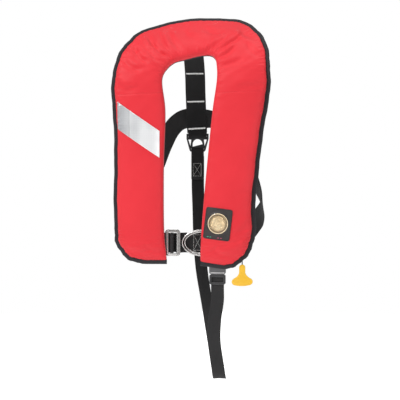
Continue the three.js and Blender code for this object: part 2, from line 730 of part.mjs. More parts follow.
// A stop of the crotch strap: what hangs below its loop moves down with the lobes.
function dropped([x, y, z, ...facing]) {
  return [x, y, z < -300 ? lowered(z) : z, ...facing];
}

function crotchStrap() {
  piece('crotch_loop', ribbon(slotLoop(-208, -1, 32, 73), crotchWidth - 2, 24, 1.4), webbed);
  const rear = [
    [connectorX, harnessY + 4, -281.7, 0, 1, 0], [1, harnessY - 1, -340, 0, 1, 0],
    [4, harnessY - 7, -410, 0, 1, 0], [9, harnessY - 14, -480, 0.15, 1, 0],
    [19, harnessY - 25, -540, 0.3, 1, 0], [31, harnessY - 37, -600, 0.35, 1, 0],
    [43, harnessY - 50, -660, 0.3, 1, -0.2], [55, harnessY - 67, -712, 0.2, 1, -0.7],
  ].map(dropped);
  piece('crotch_strap_rear', ribbon(rear, crotchWidth, 20), webbed);
  const fold = [
    [55.9, harnessY - 68.8, -714.6, 0.2, 1, -0.7], [61, 48, -730, 0.1, 0.3, -1], [65, 32, -733, 0, -0.2, -1],
    [65, 18, -722, 0, -1, -0.5], [62, 9, -700, 0, -1, 0],
  ].map(dropped);
  piece('crotch_strap_fold', ribbon(fold, crotchWidth, 14), webbed);
  const front = [
    [61.8, 8.7, -699.3, 0, -1, 0], [56, 1, -650, 0, -1, 0], [58, -2.4, -600, 0, -1, 0],
    [buckleX, buckleY, maleTop - 58.7, 0, -1, 0], [buckleX, buckleY, maleTop - 32.7, 0, -1, 0],
    [buckleX, buckleY, maleTop - 6.7, 0, -1, 0],
  ].map(dropped);
  piece('crotch_strap_front', ribbon(front, crotchWidth, 20), webbed);
}

// ---- crotch buckle ------------------------------------------------------------------------------------
const buckleMouth = lowered(maleTop);
const femaleBottom = buckleMouth + 0.6;
const femaleHeight = 42;
const prongX = 12.2;
const prongThickness = 3.6;

function crotchBuckle() {
  const front = buckleY - buckleDepth / 2;
  const back = buckleY + buckleDepth / 2;
  const top = femaleBottom + femaleHeight;
  const shell = plate(roundedBox(buckleWidth, femaleHeight, 5, buckleX, femaleBottom + femaleHeight / 2), front, back);
  const female = cut(shell,
    box(buckleX - 15.4, buckleX + 15.4, buckleY - 2.5, buckleY + 2.5, femaleBottom - 5, top - 9),
    box(buckleX - 40, buckleX + 40, buckleY - 2.5, buckleY + 2.5, femaleBottom + 13.5, femaleBottom + 31),
    box(buckleX - 15.6, buckleX + 15.6, front - 5, back + 5, top - 7, top - 3.2));
  piece('crotch_buckle_female', female, plastic);
  const bottom = buckleMouth - maleHeight;
  const male = cut(
    plate(roundedBox(buckleWidth - 1, maleHeight, 4, buckleX, buckleMouth - maleHeight / 2), front + 0.6, back - 0.6),
    box(buckleX - 15.5, buckleX + 15.5, buckleY - 1.7, buckleY + 1.7, bottom - 5, buckleMouth + 5),
    box(buckleX - 14, buckleX + 14, front - 5, buckleY, bottom + 5, buckleMouth - 6),
    box(buckleX - 17.2, buckleX - 7, buckleY - 1.7, buckleY + 1.7, buckleMouth - 4.5, buckleMouth + 5),
    box(buckleX + 7, buckleX + 17.2, buckleY - 1.7, buckleY + 1.7, buckleMouth - 4.5, buckleMouth + 5));
  piece('crotch_buckle_male', male, plastic);
  for (const [name, side] of [['crotch_prong_left', -1], ['crotch_prong_right', 1]]) {
    const shape = new THREE.Shape();
    shape.moveTo(0, 0);
    shape.lineTo(side * 2.6, 0);
    shape.lineTo(side * 2.6, 20);
    shape.lineTo(side * 6, 22);
    shape.quadraticCurveTo(side * 5.4, prongReach - 3, side * 1.4, prongReach);
    shape.lineTo(-side * 1, prongReach - 2);
    shape.lineTo(0, 18);
    shape.closePath();
    piece(name, plate(shape, -1.4, 1.4, 4), plastic)
      .position.set(buckleX + side * prongX, buckleY, buckleMouth - 3.6);
  }
  const slotZ = top - 5.1;
  const tab = [
    [buckleX, buckleY - 6.2, slotZ + 6, 0, -1, 0], [buckleX, buckleY - 6.2, slotZ + 1.8, 0, -1, 0],
    [buckleX, buckleY - 4.4, slotZ, 0, -0.5, -0.8], [buckleX, buckleY + 4.4, slotZ, 0, 0.5, -0.8],
    [buckleX, buckleY + 6.4, slotZ + 1.8, 0, 1, 0], [buckleX, buckleY + 8, slotZ + 7, 0, 1, 0],
    [buckleX, buckleY + 10, chestZ - beltWidth / 2 + 5, 0, 1, 0],
    [buckleX, buckleY + 9.8, chestZ + beltWidth / 2 - 5, 0, 1, 0],
  ];
  piece('crotch_buckle_tab', ribbon(tab, crotchWidth, 26, 1.4), webbed);
}

// ---- chest buckle and D rings -------------------------------------------------------------------------
const frameX = -39.5;            // middle of the female frame
const frameBar = 4;
const frameWideBar = 7;
const femaleY = -5;
const maleY = -11.4;
const maleAxisX = -41;
const maleCentreBar = 4;

function hole(x0, x1, z0, z1, radius) {
  return roundedBox(x1 - x0, z1 - z0, radius, (x0 + x1) / 2, (z0 + z1) / 2);
}

function chestFrames() {
  const female = roundedBox(frameWidth, frameHeight, 7, frameX, chestZ);
  const left = frameX - frameWidth / 2;
  const right = frameX + frameWidth / 2;
  const half = frameHeight / 2;
  female.holes.push(hole(left + frameBar, right - frameWideBar, chestZ - half + frameBar, chestZ + half - frameBar, 4));
  const t = frameThickness / 2;
  piece('chest_frame_female', plate(female, femaleY - t, femaleY + t), steel);
  const reachLeft = 10.5;
  const reachRight = 16.5;
  const tall = frameHeight - 6;
  const male = roundedBox(reachLeft + reachRight, tall, 5, (reachRight - reachLeft) / 2, 0);
  const side = maleCentreBar / 2;
  male.holes.push(hole(-reachLeft + 3, -side, -tall / 2 + 3.5, tall / 2 - 3.5, 2));
  male.holes.push(hole(side, reachRight - 4, -tall / 2 + 3.5, tall / 2 - 3.5, 3));
  piece('chest_frame_male', plate(male, -t, t), steel).position.set(maleAxisX, maleY, chestZ);
}

// A bow of round wire with a straight bar: the bar is at x = 0 and the bow reaches towards -X.
function ringWireLoop(reach, height, radius) {
  const rings = [];
  const a = reach - radius;
  const b = height / 2 - radius;
  const path = new THREE.Path();
  path.absellipse(0, 0, a, b, Math.PI / 2, 1.5 * Math.PI, false);
  const bow = path.getPoints(10);
  const points = [...bow, new THREE.Vector2(0, -b * 0.3), new THREE.Vector2(0, b * 0.3)];
  const sides = 8;
  for (let i = 0; i < points.length; i++) {
    const before = points[(i + points.length - 1) % points.length];
    const after = points[(i + 1) % points.length];
    const along = after.clone().sub(before).normalize();
    const side = new THREE.Vector2(-along.y, along.x);
    const ring = [];
    for (let k = 0; k < sides; k++) {
      const angle = 2 * Math.PI * (k + 0.5) / sides;
      const out = radius * Math.cos(angle);
      ring.push(new THREE.Vector3(points[i].x + side.x * out, radius * Math.sin(angle), points[i].y + side.y * out));
    }
    rings.push(ring);
  }
  return loft(rings, true);
}

const ringBarX = 32;
const ringFrontY = -0.2;
const ringBackY = ringFrontY + ringWire + 0.6;
const backRingHeight = ringHeight - 8;

function dRings() {
  const r = ringWire / 2;
  piece('d_ring_front', ringWireLoop(ringReach, ringHeight, r), steel)
    .position.set(ringBarX, ringFrontY, chestZ);
  piece('d_ring_back', ringWireLoop(ringReach - 5, backRingHeight, r), steel)
    .position.set(ringBarX, ringBackY, chestZ);
}

function chestWebbing() {
  const wide = beltWidth - 4;
  const leftLoop = [
    [-79.6, beltY], [-66, beltY], [-55, beltY + 0.1], [-48, -3.6], [-45, maleY + 1.5], [-44.8, maleY - 1.9],
    [maleAxisX, maleY - 3.9], [-37.2, maleY - 1.4], [-37.4, maleY + 2.2], [-40, maleY + 3.8],
  ];
  piece('chest_webbing_left', levelRibbon(leftLoop, chestZ, wide, 30, 1.4), webbed);
  const ringLoop = [
    [99.4, beltY], [60, beltY], [46, beltY - 1.2], [36, -4], [30.5, -4.2], [27, -1.4], [26.8, 5.4],
    [30.5, 8.4], [36, 8.2], [46, 4.2], [60, beltY + webbing + gap], [92, beltY + webbing + gap],
  ];
  const clear = backRingHeight - 2 * ringWire - 3;
  piece('d_ring_webbing', levelRibbon(ringLoop, chestZ, clear, 34, 1.8), webbed);
  const behind = beltY + 2 * (webbing + gap);
  const bridge = [
    [92, behind], [60, behind], [46, 6.9], [36, 11], [5, 11.2], [-6, 10.6], [-13.5, 8.8], [-17.6, 5.4],
    [-20.6, 2.2], [-21.6, -0.4], [-25, -2.1], [-29.2, -2.3], [-31.2, -5], [-29, -7.9], [-25, -7.9],
  ];
  piece('chest_webbing_bridge', levelRibbon(bridge, chestZ, wide, 48, 1.6), webbed);
  piece('chest_rivet', barAlongY(-13.2, chestZ + 19.5, 4.3, 6.5, 2, 12), steel);
}

// ---- keepers and lifting loop -------------------------------------------------------------------------
function keepers() {
  for (const [name, x] of [['belt_keeper_left', -92], ['belt_keeper_right', 109]]) {
    const inner = beltWidth / 2 + 0.6;
    const wall = 1.4;
    const inside = beltY + webbing / 2 + gap;
    const leg = (z0, z1) => {
      const seat = heightAt(x, (z0 + z1) / 2, lobeBack) - neckBack + 3 * gap;
      return box(x - 10, x + 10, seat, inside + wall, z0, z1);
    };
    const strap = box(x - 10, x + 10, inside, inside + wall, chestZ - inner - wall, chestZ + inner + wall);
    piece(name, join(strap, leg(chestZ + inner, chestZ + inner + wall), leg(chestZ - inner - wall, chestZ - inner)),
      webbed);
  }
}

function liftingLoop() {
  const behind = (u, v, n) => [...onSheet(u, v, n).toArray(), 0, 0.64, -0.77];
  const off = bindingThickness / 2 + gap + 1;
  const loop = [
    behind(10, 122.6, -off), behind(18, 123, -off), behind(32, 126, -off - 1), behind(46, 128, -off - 3),
    behind(60, 126, -off - 1), behind(74, 122.6, -off), behind(82, 121.8, -off),
  ];
  piece('lifting_loop', ribbon(loop, 5.5, 18, 1.8), webbed);
}

coverPanels();
edgeBinding();
closureTapes();
bladder();
reflectiveTape();
windowPatch();
windowLens();
inflator();
firingLever();
gasCylinder();
lanyardAndTab();
oralTube();
yoke();
backBelts();
connector();
yokeLoop();
crotchStrap();
crotchBuckle();
chestFrames();
dRings();
chestWebbing();
keepers();
liftingLoop();

export default jacket;
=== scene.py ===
import bmesh
import bpy
import math
import numpy as np
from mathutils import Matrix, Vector


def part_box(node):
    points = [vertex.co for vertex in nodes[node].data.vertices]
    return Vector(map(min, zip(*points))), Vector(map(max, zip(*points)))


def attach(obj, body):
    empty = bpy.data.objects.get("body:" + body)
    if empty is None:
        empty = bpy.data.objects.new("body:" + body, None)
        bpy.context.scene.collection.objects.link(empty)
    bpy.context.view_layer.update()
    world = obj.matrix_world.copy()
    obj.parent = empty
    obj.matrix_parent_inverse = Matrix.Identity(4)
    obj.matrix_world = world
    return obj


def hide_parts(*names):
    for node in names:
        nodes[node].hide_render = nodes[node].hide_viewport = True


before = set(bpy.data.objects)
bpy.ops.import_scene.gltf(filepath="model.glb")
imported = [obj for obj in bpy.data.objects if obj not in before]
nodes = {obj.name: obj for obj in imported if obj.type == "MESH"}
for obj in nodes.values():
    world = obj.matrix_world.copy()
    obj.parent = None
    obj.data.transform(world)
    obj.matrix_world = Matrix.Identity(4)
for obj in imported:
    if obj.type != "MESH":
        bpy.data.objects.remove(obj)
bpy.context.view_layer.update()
print("frame loaded:", len(nodes), "nodes")

# camera, light and floor: the object hangs, so the floor lies well below it
studio = {
    "azimuth": 8.0, "elevation": 1.5, "distance": 3.2, "across": 0.92, "aim": (0.0228, 0.0032, -0.3266),
    "sensor": 36, "floor": -0.86, "floorReach": 2.6, "floorRings": 6, "floorSides": 48,
    "paper": (0.92, 0.92, 0.92, 1), "paperRough": 0.9, "paperGlow": 0.30, "paperGlowSeen": 0.80,
    "ambient": 0.36,
    # each lamp's place, aim, size and power
    "lamps": {
        "key": ((-1.9, -1.9, 1.7), (0, 0, -0.3), (0.8, 0.8), 54),
        "fill": ((1.9, -2.2, 0.1), (0, 0, -0.3), (1.4, 1.8), 13),
        "top": ((0.3, -0.3, 1.7), (0, 0, -0.2), (1.2, 0.5), 12),
        "rear": ((-0.8, 2.4, 1.2), (0, 0, -0.3), (1.2, 1.2), 22),
    },
}


def makeCamera():
    a, e = math.radians(studio["azimuth"]), math.radians(studio["elevation"])
    back = Vector((math.sin(a) * math.cos(e), -math.cos(a) * math.cos(e), math.sin(e)))
    data = bpy.data.cameras.new("camera")
    data.sensor_width = studio["sensor"]
    data.lens = studio["sensor"] * studio["distance"] / studio["across"]
    camera = bpy.data.objects.new("camera", data)
    camera.location = Vector(studio["aim"]) + back * studio["distance"]
    camera.rotation_euler = (-back).to_track_quat("-Z", "Y").to_euler()
    bpy.context.scene.collection.objects.link(camera)
    bpy.context.scene.camera = camera


def makeLight(name, place, aim, size, power):
    data = bpy.data.lights.new(name, "AREA")
    data.shape = "RECTANGLE"
    data.size, data.size_y = size
    data.energy = power
    lamp = bpy.data.objects.new(name, data)
    lamp.location = place
    lamp.rotation_euler = (Vector(aim) - Vector(place)).to_track_quat("-Z", "Y").to_euler()
    bpy.context.scene.collection.objects.link(lamp)


def forCamera(tree, unseen, seen):
    # one value for the camera's own rays and another for all others
    ray = tree.nodes.new("ShaderNodeLightPath").outputs["Is Camera Ray"]
    return mathNode(tree, "MULTIPLY_ADD", ray, seen - unseen, unseen)


def makeStage():
    # the floor is a disc: rings of points at even distances from the middle
    reach = np.linspace(0, studio["floorReach"], studio["floorRings"])[:, None]
    turn = fullTurn(studio["floorSides"])[None, :]
    grid = np.stack([reach * np.cos(turn), reach * np.sin(turn), studio["floor"] + 0 * reach * turn], -1)
    floor = gridPiece("floor", grid, closeV=True, pole=True)
    paper, shader = newMaterial("paper", studio["paper"], studio["paperRough"])
    shader.inputs["Emission Color"].default_value = (1, 1, 1, 1)
    glow = forCamera(paper.node_tree, studio["paperGlow"], studio["paperGlowSeen"])
    paper.node_tree.links.new(glow, shader.inputs["Emission Strength"])
    floor.data.materials.append(paper)
    # the world lights softly, and shows plain white behind the object
    world = bpy.data.worlds.new("studio")
    world.use_nodes = True
    background = world.node_tree.nodes["Background"]
    background.inputs[0].default_value = (1, 1, 1, 1)
    world.node_tree.links.new(forCamera(world.node_tree, studio["ambient"], 1), background.inputs[1])
    bpy.context.scene.world = world
    bpy.context.scene.view_settings.view_transform = "Standard"
    for name, values in studio["lamps"].items():
        makeLight(name, *values)


# meshes from grids
def finishPiece(mesh, name, smooth=True):
    mesh.polygons.foreach_set("use_smooth", np.full(len(mesh.polygons), smooth))
    mesh.update()
    piece = bpy.data.objects.new(name, mesh)
    bpy.context.scene.collection.objects.link(piece)
    return piece


def gridFaces(rows, columns, closeU=False, closeV=False):
    # the corners of each face between a grid's points, which are numbered row by row
    i, j = np.arange(rows if closeU else rows - 1), np.arange(columns if closeV else columns - 1)
    ii, jj = np.meshgrid(i, j, indexing="ij")
    i2, j2 = (ii + 1) % rows, (jj + 1) % columns
    corners = [ii * columns + jj, i2 * columns + jj, i2 * columns + j2, ii * columns + j2]
    return np.stack(corners, -1).reshape(-1, 4)


def changeMesh(mesh, change):
    work = bmesh.new()
    work.from_mesh(mesh)
    change(work)
    work.to_mesh(mesh)
    work.free()


def gridPiece(name, grid, closeU=False, closeV=False, caps=False, pole=False, uv=None):
    # grid[i, j] is a point; rows run along u, columns along v. A closed way joins its last line to its first,
    # caps fill the first and last row of a tube with one face each, and a pole merges a row of one place.
    rows, columns = grid.shape[:2]
    faces = gridFaces(rows, columns, closeU, closeV).tolist()
    if caps:
        faces.append(list(range(columns)))
        faces.append([(rows - 1) * columns + k for k in range(columns - 1, -1, -1)])
    mesh = bpy.data.meshes.new(name)
    mesh.from_pydata(grid.reshape(-1, 3).tolist(), [], faces)
    if uv is not None:
        layer = mesh.uv_layers.new(name="weave")
        corners = np.empty(len(mesh.loops), dtype=np.int32)
        mesh.loops.foreach_get("vertex_index", corners)
        layer.data.foreach_set("uv", uv.reshape(-1, 2)[corners].astype(np.float32).ravel())
    if pole:
        changeMesh(mesh, lambda work: bmesh.ops.remove_doubles(work, verts=work.verts, dist=1e-7))
    piece = finishPiece(mesh, name)
    if caps or (closeU and closeV):
        turnOutward(mesh)
    return piece


def turnOutward(mesh):
    changeMesh(mesh, lambda work: bmesh.ops.recalc_face_normals(work, faces=work.faces))


def turnToFront(piece, sign=1):
    # an open sheet's faces are turned so that they look forward, or back where the sign is negative
    mesh = piece.data
    mesh.update()
    facing = np.empty(len(mesh.polygons) * 3)
    mesh.polygons.foreach_get("normal", facing)
    if facing.reshape(-1, 3)[:, 1].mean() * sign > 0:
        mesh.flip_normals()


def addWall(piece, thickness):
    wall = piece.modifiers.new("wall", "SOLIDIFY")
    wall.thickness = thickness
    wall.offset = -1.0
    wall.use_even_offset = False


rounding = {"merge": 2e-6, "flat": math.radians(1.5), "corner": math.radians(30), "segments": 3}


def joinFacets(work):
    bmesh.ops.remove_doubles(work, verts=work.verts, dist=rounding["merge"])
    bmesh.ops.dissolve_limit(work, angle_limit=rounding["flat"], verts=work.verts, edges=work.edges)


def refined(node, width):
    # a CAD node's shape with its flat facets joined and its edges rounded
    mesh = nodes[node].data.copy()
    changeMesh(mesh, joinFacets)
    piece = finishPiece(mesh, node + "_fine")
    edge = piece.modifiers.new("edge", "BEVEL")
    edge.width = width
    edge.segments = rounding["segments"]
    edge.limit_method = "ANGLE"
    edge.angle_limit = rounding["corner"]
    edge.use_clamp_overlap = True
    edge.harden_normals = True
    return piece


def dress(piece, material, slot, *replaced, body="jacket"):
    # a piece's material, the body that it rides on, and the CAD nodes that it stands for; its slot is not
    # used
    piece.data.materials.clear()
    piece.data.materials.append(materials[material])
    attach(piece, body)
    if replaced:
        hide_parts(*replaced)


def curveThrough(points, at):
    # centripetal Catmull-Rom: the stretch between two points also looks at the one before and the one after,
    # and each is weighted by the square root of its distance
    points = np.asarray(points, float)
    at = np.clip(np.atleast_1d(np.asarray(at, float)), 0, len(points) - 1)
    k = np.minimum(np.floor(at).astype(int), len(points) - 2)
    w = (at - k)[:, None]
    padded = np.vstack([2 * points[0] - points[1], points, 2 * points[-1] - points[-2]])
    a, b, c, d = (padded[k + shift] for shift in range(4))
    pairs = ((a, b), (b, c), (c, d))
    step = [np.maximum(np.linalg.norm(q - p, axis=1), 1e-9)[:, None] ** 0.5 for p, q in pairs]
    m1 = ((b - a) / step[0] - (c - a) / (step[0] + step[1]) + (c - b) / step[1]) * step[1]
    m2 = ((c - b) / step[1] - (d - b) / (step[1] + step[2]) + (d - c) / step[2]) * step[1]
    return b + m1 * w + (3 * (c - b) - 2 * m1 - m2) * w**2 + (2 * (b - c) + m1 + m2) * w**3


def unit(v):
    return v / np.maximum(np.linalg.norm(v, axis=-1, keepdims=True), 1e-12)


def travelled(path):
    # the distance along a path to each of its points
    return np.concatenate([[0], np.cumsum(np.linalg.norm(np.diff(path, axis=0), axis=1))])


def fullTurn(count):
    return np.linspace(0, 2 * math.pi, count, endpoint=False)


def pointsOf(mesh):
    place = np.empty(len(mesh.vertices) * 3)
    mesh.vertices.foreach_get("co", place)
    return place.reshape(-1, 3)


# material groups
def newGroup(name, values, outputs):
    # a node group that takes a vector and the given numbers, and gives numbers
    group = bpy.data.node_groups.new(name, "ShaderNodeTree")
    group.interface.new_socket("Vector", in_out="INPUT", socket_type="NodeSocketVector")
    for label, value in values.items():
        socket = group.interface.new_socket(label, in_out="INPUT", socket_type="NodeSocketFloat")
        socket.default_value = value
    for label in outputs:
        group.interface.new_socket(label, in_out="OUTPUT", socket_type="NodeSocketFloat")
    return group, group.nodes.new("NodeGroupInput"), group.nodes.new("NodeGroupOutput")


def mathNode(tree, kind, a, b=None, c=None):
    node = tree.nodes.new("ShaderNodeMath")
    node.operation = kind
    for socket, value in zip(node.inputs, (a, b, c)):
        if value is None:
            continue
        if isinstance(value, (int, float)):
            socket.default_value = value
        else:
            tree.links.new(value, socket)
    return node.outputs[0]


def threadCounts(group, start, *labels):
    # the vector's first parts, counted in threads
    split = group.nodes.new("ShaderNodeSeparateXYZ")
    group.links.new(start.outputs["Vector"], split.inputs[0])
    return [mathNode(group, "MULTIPLY", split.outputs[k], start.outputs[x]) for k, x in enumerate(labels)]


def halfTurns(tree, value):
    return mathNode(tree, "SINE", mathNode(tree, "MULTIPLY", value, math.pi))


def weaveGroup():
    # two crossed sets of threads: one shows where the other dips, in a checkerboard of half turns
    group, start, end = newGroup("weave", {"Threads": 900.0}, ["Height"])
    u, v = threadCounts(group, start, "Threads", "Threads")
    both = mathNode(group, "MULTIPLY", halfTurns(group, u), halfTurns(group, v))
    group.links.new(mathNode(group, "MULTIPLY_ADD", both, 0.5, 0.5), end.inputs["Height"])
    return group


ribs = {"slant": 0.8, "cross": 0.45, "rib": 0.55, "contrast": 0.7, "darkest": 0.45}


def ribGroup():
    # webbing: ribs run along the strap and short slanted floats cross them
    group, start, end = newGroup("ribs", {"Across": 620.0, "Along": 420.0}, ["Height", "Shade"])
    u, v = threadCounts(group, start, "Across", "Along")
    rib = mathNode(group, "ABSOLUTE", halfTurns(group, u))
    zigzag = mathNode(group, "PINGPONG", u, 1.0)
    slant = mathNode(group, "ADD", v, mathNode(group, "MULTIPLY", zigzag, ribs["slant"]))
    cross = mathNode(group, "ABSOLUTE", halfTurns(group, slant))
    ridge = mathNode(group, "MULTIPLY", rib, ribs["rib"])
    height = mathNode(group, "MULTIPLY_ADD", cross, ribs["cross"], ridge)
    # the weave's low parts are painted darker: painted shade in its grooves
    shade = mathNode(group, "MULTIPLY_ADD", height, ribs["contrast"], ribs["darkest"])
    group.links.new(height, end.inputs["Height"])
    group.links.new(shade, end.inputs["Shade"])
    return group


def cloudGroup():
    # slow and fast noise: colour drift over the piece, and a fine grain
    group, start, end = newGroup("cloud", {"Slow": 14.0, "Fast": 900.0}, ["Drift", "Grain"])
    for label, socket in (("Drift", "Slow"), ("Grain", "Fast")):
        node = group.nodes.new("ShaderNodeTexNoise")
        node.inputs["Detail"].default_value = 3
        group.links.new(start.outputs["Vector"], node.inputs["Vector"])
        group.links.new(start.outputs[socket], node.inputs["Scale"])
        group.links.new(node.outputs["Fac"], end.inputs[label])
    return group


def newMaterial(name, color, roughness, metallic=0.0):
    material = bpy.data.materials.new(name)
    material.use_nodes = True
    shader = material.node_tree.nodes["Principled BSDF"]
    shader.inputs["Base Color"].default_value = color
    shader.inputs["Roughness"].default_value = roughness
    shader.inputs["Metallic"].default_value = metallic
    return material, shader


def placeGroup(tree, group, **values):
    node = tree.nodes.new("ShaderNodeGroup")
    node.node_tree = group
    for label, value in values.items():
        if isinstance(value, (int, float)):
            node.inputs[label].default_value = value
        else:
            tree.links.new(value, node.inputs[label])
    return node


def addBump(tree, shader, height, distance, strength=1.0):
    bump = tree.nodes.new("ShaderNodeBump")
    bump.inputs["Distance"].default_value = distance
    bump.inputs["Strength"].default_value = strength
    tree.links.new(height, bump.inputs["Height"])
    before = shader.inputs["Normal"].links
    if before:
        tree.links.new(before[0].from_socket, bump.inputs["Normal"])
    tree.links.new(bump.outputs["Normal"], shader.inputs["Normal"])


def tint(tree, shader, factor, low, high):
    mix = tree.nodes.new("ShaderNodeMix")
    mix.data_type = "RGBA"
    tree.links.new(factor, mix.inputs["Factor"])
    mix.inputs["A"].default_value = (*low, 1)
    mix.inputs["B"].default_value = (*high, 1)
    tree.links.new(mix.outputs["Result"], shader.inputs["Base Color"])
    return mix


def objectPoint(tree):
    return tree.nodes.new("ShaderNodeTexCoord").outputs["Object"]


def uvPoint(tree):
    node = tree.nodes.new("ShaderNodeUVMap")
    node.uv_map = "weave"
    return node.outputs["UV"]


groups = {"weave": weaveGroup(), "ribs": ribGroup(), "cloud": cloudGroup()}


def drift(tree, slow, fast):
    # a slow drift and a fine grain over the piece, both in waves a metre
    node = placeGroup(tree, groups["cloud"], Vector=objectPoint(tree), Slow=slow, Fast=fast)
    return node.outputs["Drift"], node.outputs["Grain"]


cloth = {"slow": 11.0, "fast": 1400.0, "sheenRough": 0.45, "gloss": 0.3, "weave": (0.00018, 0.5),
         "grain": (0.0001, 0.4)}


def clothMaterial(name, low, high, threads, sheen, roughness):
    # woven nylon: colour drifts slowly, and the threads lift the surface a little
    material, shader = newMaterial(name, (*high, 1), roughness)
    tree = material.node_tree
    slow, grain = drift(tree, cloth["slow"], cloth["fast"])
    weave = placeGroup(tree, groups["weave"], Vector=uvPoint(tree), Threads=threads)
    tint(tree, shader, slow, low, high)
    shader.inputs["Sheen Weight"].default_value = sheen
    shader.inputs["Sheen Roughness"].default_value = cloth["sheenRough"]
    shader.inputs["Specular IOR Level"].default_value = cloth["gloss"]
    addBump(tree, shader, weave.outputs["Height"], *cloth["weave"])
    addBump(tree, shader, grain, *cloth["grain"])
    return material


def frontPoint(tree):
    # object coordinates seen from the front: x across, z up
    split, flat = tree.nodes.new("ShaderNodeSeparateXYZ"), tree.nodes.new("ShaderNodeCombineXYZ")
    tree.links.new(objectPoint(tree), split.inputs[0])
    tree.links.new(split.outputs[0], flat.inputs[0])
    tree.links.new(split.outputs[2], flat.inputs[1])
    return flat.outputs[0]


ribbed = {"across": 620.0, "along": 430.0, "slow": 18.0, "fast": 1100.0, "rough": 0.62, "sheen": 0.06,
          "gloss": 0.35, "bump": (0.0005, 0.7), "lift": 0.4}


def webbingMaterial(name, low, high, onUv):
    # ribbed webbing, on the strap's own map or on a flat piece's front
    material, shader = newMaterial(name, (*high, 1), ribbed["rough"])
    tree = material.node_tree
    point = uvPoint(tree) if onUv else frontPoint(tree)
    weave = placeGroup(tree, groups["ribs"], Vector=point, Across=ribbed["across"], Along=ribbed["along"])
    slow, _ = drift(tree, ribbed["slow"], ribbed["fast"])
    shade = mathNode(tree, "MULTIPLY", weave.outputs["Shade"], mathNode(tree, "ADD", slow, ribbed["lift"]))
    tint(tree, shader, shade, low, high)
    shader.inputs["Sheen Weight"].default_value = ribbed["sheen"]
    shader.inputs["Specular IOR Level"].default_value = ribbed["gloss"]
    addBump(tree, shader, weave.outputs["Height"], *ribbed["bump"])
    return material


moulded = {"slow": 35.0, "fast": 2400.0, "uneven": 0.16, "share": 0.6}


def plasticMaterial(name, low, high, roughness, coat=0.0, glow=0.0, grain=0.00006):
    # moulded plastic: a fine spark-eroded grain and slightly uneven gloss
    material, shader = newMaterial(name, (*high, 1), roughness)
    tree = material.node_tree
    slow, fine = drift(tree, moulded["slow"], moulded["fast"])
    tint(tree, shader, slow, low, high)
    gloss = mathNode(tree, "MULTIPLY_ADD", slow, moulded["uneven"], roughness - moulded["uneven"] / 2)
    tree.links.new(gloss, shader.inputs["Roughness"])
    shader.inputs["Coat Weight"].default_value = coat
    # a little glow stands for light thrown back from the front
    shader.inputs["Emission Color"].default_value = (*high, 1)
    shader.inputs["Emission Strength"].default_value = glow
    addBump(tree, shader, fine, grain, moulded["share"])
    return material


polished = {
    "color": (0.72, 0.69, 0.67, 1), "gloss": 0.2, "slow": 60.0, "fast": 1800.0, "wander": 0.24,
    "rough": (0.22, 0.12), "grain": (0.00003, 0.5),
    # painted reflection: how bright the metal is from edge on to face on, and how its green and blue fall
    # short of its red
    "stops": ((0.0, 0.72), (0.16, 0.86), (0.34, 0.10), (0.52, 0.16), (0.68, 0.8), (1.0, 0.5)),
    "warmth": (1, 0.97, 0.95),
}


def steelMaterial():
    # polished stainless steel with faint drawn lines and finger smears; its colour is a painted reflection,
    # lighter or darker by the angle it is seen at
    material, shader = newMaterial("steel", polished["color"], polished["gloss"], 1.0)
    tree = material.node_tree
    slow, grain = drift(tree, polished["slow"], polished["fast"])
    facing = tree.nodes.new("ShaderNodeLayerWeight")
    reflectionRamp = tree.nodes.new("ShaderNodeValToRGB")
    while len(reflectionRamp.color_ramp.elements) < len(polished["stops"]):
        reflectionRamp.color_ramp.elements.new(0.5)
    for element, (position, level) in zip(reflectionRamp.color_ramp.elements, polished["stops"]):
        element.position = position
        element.color = (*(level * part for part in polished["warmth"]), 1)
    wander = mathNode(tree, "MULTIPLY_ADD", slow, polished["wander"], -polished["wander"] / 2)
    tree.links.new(mathNode(tree, "ADD", facing.outputs["Facing"], wander), reflectionRamp.inputs["Fac"])
    tree.links.new(reflectionRamp.outputs["Color"], shader.inputs["Base Color"])
    tree.links.new(mathNode(tree, "MULTIPLY_ADD", slow, *polished["rough"]), shader.inputs["Roughness"])
    addBump(tree, shader, grain, *polished["grain"])
    return material


